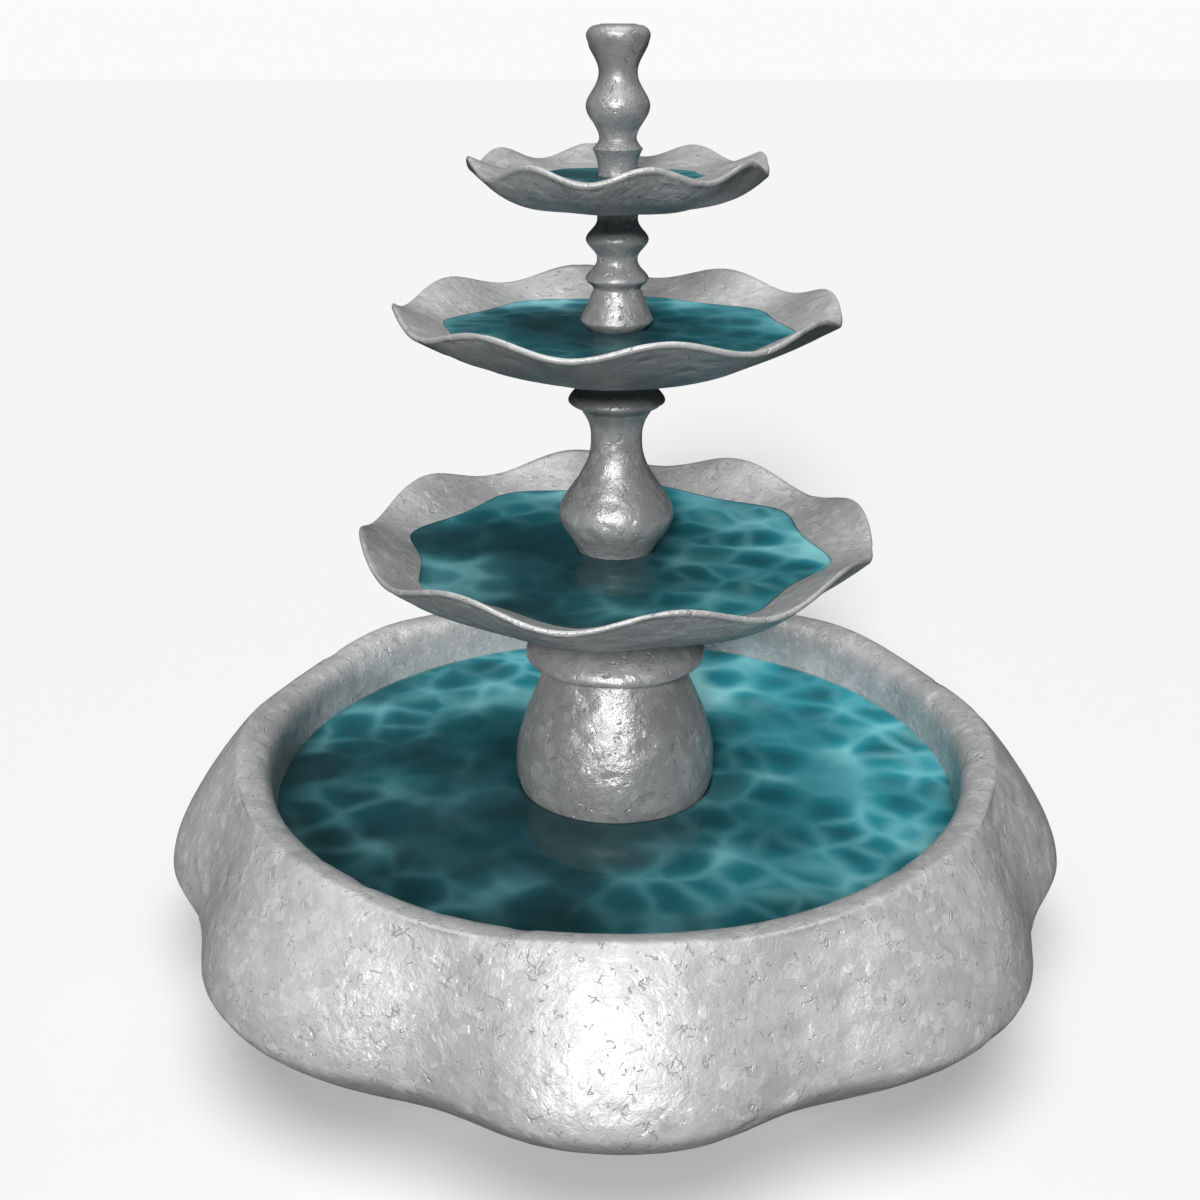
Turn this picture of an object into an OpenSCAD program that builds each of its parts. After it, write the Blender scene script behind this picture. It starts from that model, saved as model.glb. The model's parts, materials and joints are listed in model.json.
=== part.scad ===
// Tabletop water fountain: three scalloped bowls on turned stems over a lobed pool basin.
// Cast pieces stack on spigots. A small pump under the pedestal feeds one riser tube.
// Z is up, the origin is on the ground under the middle of the basin, the front is -Y.

/* [Basin] */
// Mean radius of the outer wall at its widest
basin_r = 202; // [190:1:245]
// How far each lobe of the outer wall swells and sinks
basin_lobe = 6.5; // [0:0.5:9]
// Height of the widest part of the wall
basin_belly_z = 43; // [35:1:52]
// Height of the rim's crest
basin_h = 99; // [90:1:125]
// Radius of the rim's crest
basin_rim_r = 171; // [168:1:180]
// Rise and fall of the rim's crest between lobes
basin_rim_wave = 2; // [0:0.5:4]
// Radius of the pool's wall
pool_r = 156; // [145:1:160]
// Height of the pool's floor
pool_floor_z = 46; // [40:1:56]
// Thickness of the basin's cast wall and floor
basin_wall = 7; // [5:0.5:9]
// Outer radius of the ring that the basin stands over
foot_r = 157; // [145:1:165]
// Lobes around the basin and around each bowl
lobes = 8; // [5:1:12]

/* [Pedestal and stems] */
// Height of the pedestal, from the pool's floor to the lower bowl
pedestal_h = 119; // [112:1:145]
// Radius of the pedestal's bulb
pedestal_r = 46.3; // [44:0.1:56]
// Radius of the collar on the pedestal
collar_r = 40.8; // [38:0.1:50]
// Inner radius of the pedestal's foot
pedestal_foot_bore = 34.3; // [33.8:0.1:35.5]
// Height of the middle stem
middle_stem_h = 92.8; // [75:0.1:120]
// Radius of the middle stem's bulb
middle_stem_r = 25.3; // [23:0.1:30]
// Height of the upper stem
upper_stem_h = 63.4; // [52:0.1:80]
// Radius of the upper stem's shoulder
upper_stem_r = 15.3; // [14:0.1:19]
// Height of the finial
finial_h = 61.4; // [50:0.1:76]
// Radius of the finial's bulb
finial_r = 13; // [12:0.1:16]

/* [Bowls] */
// Rim radius of the lower bowl
lower_bowl_r = 111.6; // [95:0.1:134]
// Height of the lower bowl's rim above its underside
lower_bowl_h = 33; // [28:0.1:40]
// Thickness of the lower bowl's floor
lower_floor = 6.8; // [5.5:0.1:9]
// Rise and fall of the lower bowl's rim
lower_wave = 4.2; // [0:0.1:6]
// Rim radius of the middle bowl
middle_bowl_r = 92.7; // [80:0.1:112]
// Height of the middle bowl's rim above its underside
middle_bowl_h = 29.9; // [26:0.1:36]
// Thickness of the middle bowl's floor
middle_floor = 5; // [4.5:0.1:8]
// Rise and fall of the middle bowl's rim
middle_wave = 3.1; // [0:0.1:5]
// Rim radius of the upper bowl
upper_bowl_r = 60.6; // [52:0.1:73]
// Height of the upper bowl's rim above its underside
upper_bowl_h = 18.6; // [16:0.1:23]
// Thickness of the upper bowl's floor
upper_floor = 8; // [7.5:0.1:9]
// Rise and fall of the upper bowl's rim
upper_wave = 2.8; // [0:0.1:4]
// Thickness of every bowl's lip
lip_t = 3; // [2:0.1:4]

/* [Joints between the castings] */
// Radius of the middle stem's spigot in the lower bowl
middle_spigot_r = 10; // [8.5:0.1:12]
// Radius of the upper stem's spigot in the middle bowl
upper_spigot_r = 7; // [6.8:0.1:8.4]
// Radius of the finial's spigot in the upper bowl
finial_spigot_r = 6.2; // [6:0.1:6.6]
// Radial clearance of every spigot that lifts out
spigot_gap = 0.3; // [0.2:0.05:0.5]
// Height of a lifting piece above what it rests on
seat_gap = 0.3; // [0.2:0.05:0.5]
// Cement gap around a bowl's hub
cement_gap = 0.1; // [0.05:0.05:0.3]
// Thickness of the seal under each stem
seal_t = 2; // [1.5:0.1:3]

/* [Riser] */
// Outer radius of the riser tube
riser_r = 4.5; // [3.6:0.05:4.7]
// Wall of the riser tube
riser_wall = 1.1; // [0.8:0.1:1.4]
// Clearance around the riser tube in the castings
riser_gap = 0.5; // [0.3:0.05:0.6]
// Radius of the spout's opening
spout_r = 2.5; // [1.5:0.1:3]

/* [Pump] */
// Half of the pump's width
pump_half_w = 16; // [16:0.5:17.5]
// Height of the pump's housing
pump_h = 34; // [33:0.5:41]
// Radius of the impeller
impeller_r = 10.5; // [8:0.1:11.5]
// Radius of the rotor's magnet
magnet_r = 5.9; // [5:0.1:6.2]
// Radius of the impeller's shaft
shaft_r = 1.1; // [0.9:0.05:1.4]
// Running clearance of the impeller on its shaft
running_gap = 0.05; // [0.03:0.01:0.08]
// Height of the suction cups under the pump
cup_h = 3.5; // [3:0.5:6]

/* [Base] */
// Height of the rubber feet
foot_h = 3; // [2.5:0.5:6]
// Radius of a rubber foot
foot_pad_r = 11; // [8:0.5:14]
// Thickness of the base plate
plate_t = 3; // [2:0.5:4]
// Number of screws that hold the base plate
screw_count = 6; // [4:1:8]
// Radius of a base screw's thread
screw_r = 1.6; // [1.4:0.1:2.2]
// Thread radius of the low-voltage socket
socket_r = 5.5; // [4:0.1:6]
// Radius of the pump's lead
lead_r = 1.9; // [1.5:0.1:2.2]

/* [Hidden] */
$fn = 64;
eps = 0.01;

// Ways for a turned outline to run from one knot to the next.
EASE = 1;
LINE = 0;
ROUND = 99;

stone = [0.62, 0.62, 0.62];
dark_plastic = [0.13, 0.14, 0.15];
rubber = [0.08, 0.08, 0.08];

// Heights where the pieces seat, from the ground up.
basin_bottom_z = 1;
shell_steps = 64;
lobe_flat = 0.15;
pedestal_z = pool_floor_z + seat_gap;
lower_bowl_z = pool_floor_z + pedestal_h;
lower_floor_z = lower_bowl_z + lower_floor;
middle_stem_z = lower_floor_z + seat_gap;
middle_bowl_z = lower_floor_z + middle_stem_h;
middle_floor_z = middle_bowl_z + middle_floor;
upper_stem_z = middle_floor_z + seat_gap;
upper_bowl_z = middle_floor_z + upper_stem_h;
upper_floor_z = upper_bowl_z + upper_floor;
finial_z = upper_floor_z + seat_gap;
finial_top_z = upper_floor_z + finial_h;

// Hubs under the bowls, cemented into the stems below them.
hub_wall = 3.7;
lower_hub_r = middle_spigot_r + spigot_gap + hub_wall + 2;
lower_hub_h = 8;
middle_hub_r = upper_spigot_r + spigot_gap + hub_wall;
middle_hub_h = 7;
riser_bore = riser_r + riser_gap;
upper_hub_r = riser_bore + 1.6;
upper_hub_h = 5;
hub_end_gap = 0.3;
spigot_end_gap = 2;
finial_spigot_h = upper_floor - 2;

// Spout at the top of the finial.
nozzle_flange_r = 6.6;
nozzle_flange_t = 2.4;
nozzle_body_r = riser_bore + 0.6;
nozzle_socket = 9;
nozzle_h = 20;
nozzle_top_z = finial_top_z - 0.8;
riser_lap = 7;
riser_top_z = nozzle_top_z - nozzle_h + riser_lap;
slide_gap = 0.08;

// Pump: the outlet stands on the fountain's axis, the rotor lies along X.
pump_z = pool_floor_z + cup_h;
axis_z = pump_z + pump_h / 2;
pump_top_z = pump_z + pump_h;
front_x = -5;
motor_end_x = 24;
cover_end_x = -24;
shell_t = 2;
chamber_r = impeller_r + 2;
chamber_back_x = 5;
well_r = magnet_r + 0.5;
well_end_x = 19;
well_wall = 1.6;
bush_r = 2.8;
bush_t = 2;
volute_t = 2.5;
volute_half = 14;
volute_screw_r = 0.9;
volute_screw_at = 11.8;
eye_r = 6;
neck_r = 2.2;
nipple_r = riser_r - riser_wall;
nipple_bore = nipple_r - 1.1;
nipple_h = 12;
riser_foot_z = pump_top_z + 1.5;
cap_t = 1.8;
cap_gap = 0.1;
stator_front_x = 9;
stator_back_x = 20;

// Flow dial on the front of the intake cover.
dial_x = cover_end_x - 0.3;
dial_t = 1.8;
dial_r = 7.5;
dial_z = axis_z + 5.5;
dial_pin_r = 1.6;
dial_port_r = 1.5;
dial_port_at = 4.7;
dial_port_angles = [50, 90, 130];
dial_head_r = 2.8;

// Locating ring in the pool, inside the pedestal's foot.
locator_h = 4;
locator_r = pedestal_foot_bore - spigot_gap;
locator_wall = 2;

// Base.
plate_z = foot_h;
plate_r = foot_r - basin_wall - 1;
boss_r = 6;
boss_ring_r = 118;
pilot_depth = 14;
pad_ring_r = 130;
socket_z = basin_belly_z - 2;
lobe_peak = 1 - lobe_flat;
socket_flange_t = 2.5;
socket_seat_y = basin_r + basin_lobe * lobe_peak - socket_flange_t;
socket_boss_r = 10;
socket_boss_t = 12;
socket_recess_r = 8.5;
socket_nut_t = 3;
socket_reach = 12;
plug_r = 2.75;
plug_depth = 9.5;

// Lead: out of the pump's side, down through the floor and back to the socket.
lead_x = 10;
lead_exit_z = pump_z + 8.5;
gland_y = pump_half_w + 8.6;
gland_r = 3.2;
gland_flange_r = 4.2;
gland_flange_t = 1.2;
lead_run_z = pool_floor_z - basin_wall - 8;
socket_tail_y = socket_seat_y - 28;
clip_y = 60;
clip_pitch = 26;
clip_shift = 2;
lead_route = [
    [lead_x, pump_half_w - 2, lead_exit_z],
    [lead_x, pump_half_w + 3.5, lead_exit_z],
    [lead_x, gland_y - 1.2, lead_exit_z - 2],
    [lead_x, gland_y, lead_exit_z - 6],
    [lead_x, gland_y, pool_floor_z - basin_wall - 1],
    [lead_x, gland_y + 1.6, lead_run_z + 2.4],
    [lead_x, gland_y + 7, lead_run_z],
    [lead_x, clip_y, lead_run_z],
    [lead_x + clip_shift, clip_y + clip_pitch, lead_run_z],
    [lead_x + 4, boss_ring_r, lead_run_z],
    [lead_x - 4, socket_tail_y - 26, lead_run_z + 3],
    [0, socket_tail_y - 9, socket_z - 1],
    [0, socket_tail_y, socket_z]
];

// ---------- curves ----------

function mix(a, b, t) = a + (b - a) * t;

function bezier(p, t) =
    p[0] * pow(1 - t, 3) + p[1] * 3 * t * pow(1 - t, 2)
    + p[2] * 3 * t * t * (1 - t) + p[3] * pow(t, 3);

// Share of the way from one knot's radius to the next at u of the way up.
// A positive way eases at both ends, a negative one flares towards the wider knot.
function share(way, u, grows) =
    way == LINE ? u
    : way == ROUND ? 1 - sqrt(1 - u * u)
    : way < 0 ? (grows ? pow(u, -way) : 1 - pow(1 - u, -way))
    : (1 - cos(180 * (1 - pow(1 - u, way)))) / 2;

// Outline of a turned piece. A knot is [radius, share of the height, way from the last knot].
function turned(knots, z, h, steps = 8) = concat(
    [[knots[0][0], z + knots[0][1] * h]],
    [for (i = [1:len(knots) - 1])
        let (a = knots[i - 1], b = knots[i], n = b[2] == LINE ? 1 : steps)
        for (j = [1:n])
            let (u = j / n)
            [mix(a[0], b[0], share(b[2], u, b[0] > a[0])), z + mix(a[1], b[1], u) * h]]
);

// A solid whose outline sways as it goes round. A ring is [radius, z, sway, lift]:
// sway is how far the lobes move it outwards, lift is how far they raise it.
// The first and last rings lie on the axis.
module lobed_solid(rings, steps, phase) {
    n = len(rings) - 2;
    function wave(a) = cos(lobes * (a - phase));
    function reach(ring, a) = ring[0] + ring[2] * (wave(a) - lobe_flat * cos(2 * lobes * (a - phase)));
    function place(ring, a) =
        [reach(ring, a) * sin(a), -reach(ring, a) * cos(a), ring[1] + ring[3] * wave(a)];
    points = concat(
        [[0, 0, rings[0][1]]],
        [for (i = [1:n], j = [0:steps - 1]) place(rings[i], j * 360 / steps)],
        [[0, 0, rings[n + 1][1]]]
    );
    last = n * steps + 1;
    function at(i, j) = 1 + i * steps + (j % steps);
    faces = concat(
        [for (j = [0:steps - 1]) [0, at(0, j), at(0, j + 1)]],
        [for (i = [0:n - 2], j = [0:steps - 1]) [at(i, j), at(i + 1, j), at(i + 1, j + 1)]],
        [for (i = [0:n - 2], j = [0:steps - 1]) [at(i, j), at(i + 1, j + 1), at(i, j + 1)]],
        [for (j = [0:steps - 1]) [last, at(n - 1, j + 1), at(n - 1, j)]]
    );
    polyhedron(points = points, faces = faces, convexity = 10);
}

module along_x(x, z = 0, y = 0) {
    translate([x, y, z]) rotate([0, 90, 0]) children();
}

module along_y(y, z = 0, x = 0) {
    translate([x, y, z]) rotate([-90, 0, 0]) children();
}

module ring(outer, inner, h, z = 0) {
    translate([0, 0, z]) difference() {
        cylinder(r = outer, h = h);
        translate([0, 0, -1]) cylinder(r = inner, h = h + 2);
    }
}

// Block with round upright corners, centred on Y and on the pump's axis.
module pump_block(x0, x1, half_y, half_z, corner = 3) {
    linear_extrude_x(x0, x1) {
        square([2 * half_y, 2 * (half_z - corner)], center = true);
        square([2 * (half_y - corner), 2 * half_z], center = true);
        for (sy = [-1, 1], sz = [-1, 1])
            translate([sy * (half_y - corner), sz * (half_z - corner)]) circle(r = corner);
    }
}

module linear_extrude_x(x0, x1) {
    translate([x0, 0, axis_z]) rotate([90, 0, 90]) linear_extrude(x1 - x0) children();
}

// ---------- basin ----------

foot_curve = [
    [foot_r, basin_bottom_z], [foot_r + 9, basin_bottom_z + 3],
    [basin_r - 2, basin_belly_z - 11], [basin_r, basin_belly_z]
];
wall_curve = [
    [basin_r, basin_belly_z], [basin_r - 1, basin_belly_z + 16],
    [basin_rim_r + 1.5, basin_h], [basin_rim_r, basin_h]
];
lip_curve = [
    [basin_rim_r, basin_h], [basin_rim_r - 9, basin_h],
    [pool_r + 0.5, basin_h - 2], [pool_r, basin_h - 12]
];
sump_curve = [
    [pool_r, basin_h - 12], [pool_r - 1, pool_floor_z + 12],
    [pool_r - 8, pool_floor_z], [pool_r - 28, pool_floor_z]
];
void_curve = [
    [pool_r + basin_wall, pool_floor_z + 14], [pool_r + basin_wall, pool_floor_z],
    [pool_r - 4, pool_floor_z - basin_wall], [pool_r - 26, pool_floor_z - basin_wall]
];
foot_steps = 6;
wall_steps = 7;
lip_steps = 5;
sump_steps = 4;
void_steps = 3;

// Rings along the outer wall: t runs from the foot (0) to the rim's crest (1).
function outer_ring(curve, u, t, inset) =
    let (p = bezier(curve, u))
    [p[0] - inset, p[1], basin_lobe * sin(180 * t), inset > 0 ? 0 : basin_rim_wave * pow(t, 3)];

function outer_rings(inset) = concat(
    [for (i = [0:foot_steps]) outer_ring(foot_curve, i / foot_steps, i / foot_steps / 2, inset)],
    [for (i = [1:wall_steps - (inset > 0 ? 2 : 0)])
        outer_ring(wall_curve, i / wall_steps, (1 + i / wall_steps) / 2, inset)]
);

// Space inside the casting, from the middle of the floor's underside to the foot.
void_rings = concat(
    [[0, pool_floor_z - basin_wall, 0, 0]],
    [for (i = [void_steps:-1:0]) concat(bezier(void_curve, i / void_steps), [0, 0])],
    [[pool_r + basin_wall + 1, basin_h - basin_wall - 9, 0, 0]],
    [[basin_rim_r - 3, basin_h - basin_wall - 3, 0, 0]],
    [for (i = [foot_steps + wall_steps - 2:-1:0]) outer_rings(basin_wall)[i]]
);

skin_rings = concat(
    outer_rings(0),
    [for (i = [1:lip_steps])
        concat(bezier(lip_curve, i / lip_steps), [0, basin_rim_wave * pow(1 - i / lip_steps, 2)])],
    [for (i = [1:sump_steps]) concat(bezier(sump_curve, i / sump_steps), [0, 0])],
    [[0, pool_floor_z, 0, 0]]
);

module base_ring_places() {
    for (i = [0:screw_count - 1]) rotate((i + 0.5) * 360 / screw_count)
        translate([boss_ring_r, 0, 0]) children();
}

module basin() {
    color(stone) difference() {
        union() {
            lobed_solid(concat(void_rings, skin_rings), shell_steps, 0);
            ring(locator_r, locator_r - locator_wall, locator_h + 3, pool_floor_z - 3);
            base_ring_places()
                translate([0, 0, plate_z + plate_t])
                    cylinder(r = boss_r, h = pool_floor_z - basin_wall + 3 - plate_z - plate_t);
            along_y(socket_seat_y - socket_boss_t, socket_z)
                cylinder(r = socket_boss_r, h = socket_boss_t);
        }
        base_ring_places()
            translate([0, 0, plate_z + plate_t - 1]) cylinder(r = screw_r, h = pilot_depth + 1);
        along_y(socket_seat_y - socket_boss_t - 1, socket_z)
            cylinder(r = socket_r + cement_gap, h = socket_boss_t + 2);
        along_y(socket_seat_y, socket_z) cylinder(r = socket_recess_r, h = 30);
        // Spot face inside the wall, so that the nut lands flat however the wall leans.
        along_y(socket_seat_y - socket_boss_t - socket_reach, socket_z)
            cylinder(r = socket_recess_r, h = socket_reach);
        translate([lead_x, gland_y, pool_floor_z - basin_wall - 2])
            cylinder(r = gland_r, h = basin_wall + 4);
    }
}

// ---------- base ----------

module base_plate() {
    color(dark_plastic) difference() {
        translate([0, 0, plate_z]) cylinder(r = plate_r, h = plate_t, $fn = 128);
        base_ring_places() translate([0, 0, plate_z - 1]) cylinder(r = screw_r + 0.3, h = plate_t + 2);
    }
}

module base_screws() {
    head_t = 1.6;
    color("silver") base_ring_places() {
        translate([0, 0, plate_z - head_t]) difference() {
            union() {
                cylinder(r = screw_r * 2, h = head_t);
                cylinder(r = screw_r, h = head_t + plate_t + pilot_depth - 2);
            }
            for (turn = [0, 90]) rotate(turn)
                translate([-screw_r * 1.2, -0.3, -1]) cube([screw_r * 2.4, 0.6, 1.8]);
        }
    }
}

module rubber_feet() {
    color(rubber) for (i = [0:3]) rotate(45 + i * 90)
        translate([pad_ring_r, 0, 0]) cylinder(r = foot_pad_r, h = foot_h);
}

module floor_gland() {
    color(rubber) translate([lead_x, gland_y, 0]) {
        ring(gland_flange_r, lead_r, gland_flange_t, pool_floor_z);
        ring(gland_r, lead_r, basin_wall + 2 * eps, pool_floor_z - basin_wall - eps);
        ring(gland_flange_r, lead_r, gland_flange_t, pool_floor_z - basin_wall - gland_flange_t);
    }
}

module dc_socket() {
    tail = 10;
    color(dark_plastic) difference() {
        union() {
            along_y(socket_seat_y, socket_z) cylinder(r = socket_r + 1.8, h = socket_flange_t);
            along_y(socket_seat_y - socket_boss_t - 6, socket_z)
                cylinder(r = socket_r, h = socket_boss_t + 6 + eps);
            along_y(socket_seat_y - socket_boss_t - 6 - tail, socket_z)
                cylinder(r = socket_r - 1.5, h = tail + eps);
        }
        along_y(socket_seat_y + socket_flange_t - plug_depth, socket_z) difference() {
            cylinder(r = plug_r, h = plug_depth + 1);
            translate([0, 0, -1]) cylinder(r = 1.05, h = plug_depth);
        }
    }
}

module dc_socket_nut() {
    color("silver") along_y(socket_seat_y - socket_boss_t - socket_nut_t, socket_z) difference() {
        cylinder(r = socket_r + 2.6, h = socket_nut_t, $fn = 6);
        translate([0, 0, -1]) cylinder(r = socket_r, h = socket_nut_t + 2);
    }
}

// ---------- lead ----------

function spline(p, i, t) =
    let (a = p[max(i - 1, 0)], b = p[i], c = p[i + 1], d = p[min(i + 2, len(p) - 1)])
    0.5 * (2 * b + (c - a) * t + (2 * a - 5 * b + 4 * c - d) * t * t
        + (3 * b - 3 * c + d - a) * pow(t, 3));

function unit(v) = v / norm(v);

// Tube swept along a route. The route never runs along X, so X is the rings' first axis.
module swept_tube(route, r, sides = 8, per_leg = 4) {
    path = concat(
        [for (i = [0:len(route) - 2], j = [0:per_leg - 1]) spline(route, i, j / per_leg)],
        [route[len(route) - 1]]
    );
    n = len(path);
    function heading(i) = unit(path[min(i + 1, n - 1)] - path[max(i - 1, 0)]);
    function side(i) = unit([1, 0, 0] - heading(i) * heading(i)[0]);
    points = [for (i = [0:n - 1], k = [0:sides - 1])
        let (a = k * 360 / sides)
        path[i] + r * (cos(a) * side(i) + sin(a) * cross(heading(i), side(i)))];
    function at(i, k) = i * sides + (k % sides);
    faces = concat(
        [[for (k = [0:sides - 1]) k]],
        [for (i = [0:n - 2], k = [0:sides - 1]) [at(i, k), at(i + 1, k), at(i + 1, k + 1)]],
        [for (i = [0:n - 2], k = [0:sides - 1]) [at(i, k), at(i + 1, k + 1), at(i, k + 1)]],
        [[for (k = [sides - 1:-1:0]) at(n - 1, k)]]
    );
    polyhedron(points = points, faces = faces, convexity = 6);
}

module pump_lead() {
    color(dark_plastic) swept_tube(lead_route, lead_r);
}

module lead_boot() {
    boot_h = 4;
    color(rubber) along_y(pump_half_w, lead_exit_z, lead_x) difference() {
        cylinder(r1 = lead_r + 1.6, r2 = lead_r + 0.7, h = boot_h);
        translate([0, 0, -1]) cylinder(r = lead_r, h = boot_h + 2);
    }
}

module lead_clips() {
    clip_w = 8;
    clip_l = 5;
    roof_z = pool_floor_z - basin_wall;
    color(dark_plastic) for (i = [0:1]) {
        translate([lead_x + i * clip_shift, clip_y + i * clip_pitch, 0]) difference() {
            translate([-clip_w / 2, 0, lead_run_z - lead_r - 1.5])
                cube([clip_w, clip_l, roof_z - lead_run_z + lead_r + 1.5]);
            translate([0, 0, lead_run_z]) rotate([-90, 0, 0])
                translate([0, 0, -1]) cylinder(r = lead_r + 0.6, h = clip_l + 2);
        }
    }
}

// ---------- pump ----------

module pump_housing() {
    half_z = pump_h / 2;
    color(dark_plastic) difference() {
        union() {
            difference() {
                pump_block(front_x, motor_end_x, pump_half_w, half_z);
                pump_block(chamber_back_x + 2.5, motor_end_x + 1, pump_half_w - shell_t - 0.5,
                    half_z - shell_t - 0.5, 1);
            }
            along_x(chamber_back_x, axis_z)
                cylinder(r = well_r + well_wall, h = well_end_x + bush_t + 1 - chamber_back_x);
            translate([0, 0, pump_top_z - 2]) cylinder(r = nipple_r, h = nipple_h + 2);
        }
        along_x(front_x - 1, axis_z) cylinder(r = chamber_r, h = chamber_back_x - front_x + 1);
        along_x(chamber_back_x - 1, axis_z) cylinder(r = well_r, h = well_end_x - chamber_back_x + 1);
        along_x(well_end_x - 1, axis_z) cylinder(r = bush_r, h = bush_t + 1);
        translate([0, 0, axis_z]) cylinder(r = nipple_bore, h = pump_h);
        along_y(pump_half_w - shell_t - 2, lead_exit_z, lead_x) cylinder(r = lead_r, h = 6);
        for (sy = [-1, 1], sz = [-1, 1])
            along_x(front_x - 1, axis_z + sz * volute_screw_at, sy * volute_screw_at)
                cylinder(r = volute_screw_r, h = 6.5, $fn = 24);
        cup_places() cylinder(r = 1.5, h = 2, $fn = 24);
    }
}

module pump_rear_cap() {
    inner = shell_t + 0.5 + cap_gap;
    color(dark_plastic)
        pump_block(motor_end_x - cap_t, motor_end_x, pump_half_w - inner, pump_h / 2 - inner, 1);
}

module stator_core() {
    inner = shell_t + 1;
    color("slategray") difference() {
        pump_block(stator_front_x, stator_back_x, pump_half_w - inner, pump_h / 2 - inner - 3.5, 1);
        along_x(stator_front_x - 1, axis_z) cylinder(r = well_r + well_wall + 0.05, h = 20);
    }
}

module stator_coils() {
    winding_t = 1.2;
    color("peru") for (x = [stator_front_x - winding_t, stator_back_x]) along_x(x, axis_z)
        difference() {
            cylinder(r = well_r + well_wall + 3.8, h = winding_t);
            translate([0, 0, -1]) cylinder(r = well_r + well_wall + 0.05, h = winding_t + 2);
        }
}

module volute_cover() {
    hub_r = bush_r + 1;
    spoke_w = 1.6;
    color(dark_plastic) {
        difference() {
            pump_block(front_x - volute_t, front_x, volute_half, volute_half, 2);
            along_x(front_x - volute_t - 1, axis_z) cylinder(r = eye_r, h = volute_t + 2);
            for (sy = [-1, 1], sz = [-1, 1])
                along_x(front_x - volute_t - 1, axis_z + sz * volute_screw_at, sy * volute_screw_at)
                    cylinder(r = volute_screw_r + 0.1, h = volute_t + 2, $fn = 24);
        }
        difference() {
            union() {
                along_x(front_x - volute_t, axis_z) cylinder(r = hub_r, h = volute_t);
                for (turn = [0, 120, 240]) along_x(front_x - volute_t, axis_z) rotate(turn)
                    translate([0, -spoke_w / 2, 0]) cube([eye_r + 0.5, spoke_w, volute_t]);
            }
            along_x(front_x - volute_t - 1, axis_z) cylinder(r = bush_r, h = volute_t + 2);
        }
    }
}

module volute_screws() {
    color("silver") for (sy = [-1, 1], sz = [-1, 1])
        along_x(front_x - volute_t - 1, axis_z + sz * volute_screw_at, sy * volute_screw_at) {
            cylinder(r = volute_screw_r * 1.9, h = 1, $fn = 24);
            cylinder(r = volute_screw_r, h = volute_t + 6, $fn = 24);
        }
}

module shaft_bushes() {
    color(rubber) for (x = [front_x - volute_t, well_end_x]) along_x(x, axis_z) difference() {
        cylinder(r = bush_r, h = bush_t);
        translate([0, 0, -1]) cylinder(r = shaft_r, h = bush_t + 2);
    }
}

module impeller_shaft() {
    color("whitesmoke") along_x(front_x - volute_t + 0.2, axis_z)
        cylinder(r = shaft_r, h = well_end_x + bush_t - 0.4 - front_x + volute_t);
}

module impeller() {
    blades = 6;
    blade_t = 1.2;
    blade_w = 7.4;
    hub_r = 3.4;
    plate = 1;
    start_x = front_x + 0.7;
    color("white") difference() {
        union() {
            along_x(start_x, axis_z) cylinder(r = hub_r, h = chamber_back_x - 0.4 - start_x);
            along_x(start_x, axis_z)
                for (i = [0:blades - 1]) rotate(i * 360 / blades)
                    translate([hub_r - 1, -blade_t / 2, 0]) cube([impeller_r - hub_r + 1, blade_t, blade_w]);
            along_x(start_x + blade_w - eps, axis_z) cylinder(r = impeller_r - 1.5, h = plate);
            along_x(start_x, axis_z) cylinder(r = neck_r, h = well_end_x - 0.6 - start_x);
        }
        along_x(start_x - 1, axis_z) cylinder(r = shaft_r + running_gap, h = well_end_x + 10);
    }
}

module rotor_magnet() {
    color("dimgray") along_x(chamber_back_x + 0.2, axis_z) difference() {
        cylinder(r = magnet_r, h = well_end_x - 0.8 - chamber_back_x - 0.2);
        translate([0, 0, -1]) cylinder(r = neck_r, h = 30);
    }
}

module intake_cover() {
    slot_w = 2;
    slot_pitch = 4.2;
    wall = 1.8;
    color(dark_plastic) {
        difference() {
            pump_block(cover_end_x, front_x, pump_half_w, pump_h / 2);
            pump_block(cover_end_x + wall, front_x + 1, pump_half_w - wall, pump_h / 2 - wall, 1);
            for (i = [-2:2]) translate([cover_end_x - 1, i * slot_pitch - slot_w / 2, pump_z + 4])
                cube([wall + 2, slot_w, 9]);
            for (a = dial_port_angles)
                along_x(cover_end_x - 1, dial_z + dial_port_at * sin(a), dial_port_at * cos(a))
                    cylinder(r = dial_port_r, h = wall + 2, $fn = 24);
        }
        along_x(dial_x - dial_t - 0.3, dial_z)
            cylinder(r = dial_pin_r, h = dial_t + 1.6);
        along_x(dial_x - dial_t - 1.3, dial_z) cylinder(r = dial_head_r, h = 1);
    }
}

module flow_dial() {
    color("dimgray") difference() {
        union() {
            along_x(dial_x - dial_t, dial_z) cylinder(r = dial_r, h = dial_t);
            translate([dial_x - dial_t, -1.2, dial_z + dial_r - 1]) cube([dial_t, 2.4, 3.5]);
        }
        along_x(dial_x - dial_t - 1, dial_z) cylinder(r = dial_pin_r + running_gap, h = dial_t + 2);
        for (a = dial_port_angles)
            along_x(dial_x - dial_t - 1, dial_z + dial_port_at * sin(a), dial_port_at * cos(a))
                cylinder(r = dial_port_r, h = dial_t + 2, $fn = 24);
    }
}

module cup_places() {
    for (x = [3, 18], sy = [-1, 1]) translate([x, sy * 9, pump_z]) children();
}

module suction_cups() {
    color(rubber) cup_places() {
        translate([0, 0, -cup_h]) cylinder(r1 = 5.5, r2 = 3, h = cup_h);
        cylinder(r = 1.5, h = 2, $fn = 24);
    }
}

module riser_tube() {
    color("lightcyan") ring(riser_r, riser_r - riser_wall, riser_top_z - riser_foot_z, riser_foot_z);
}

// ---------- pedestal and stems ----------

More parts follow.
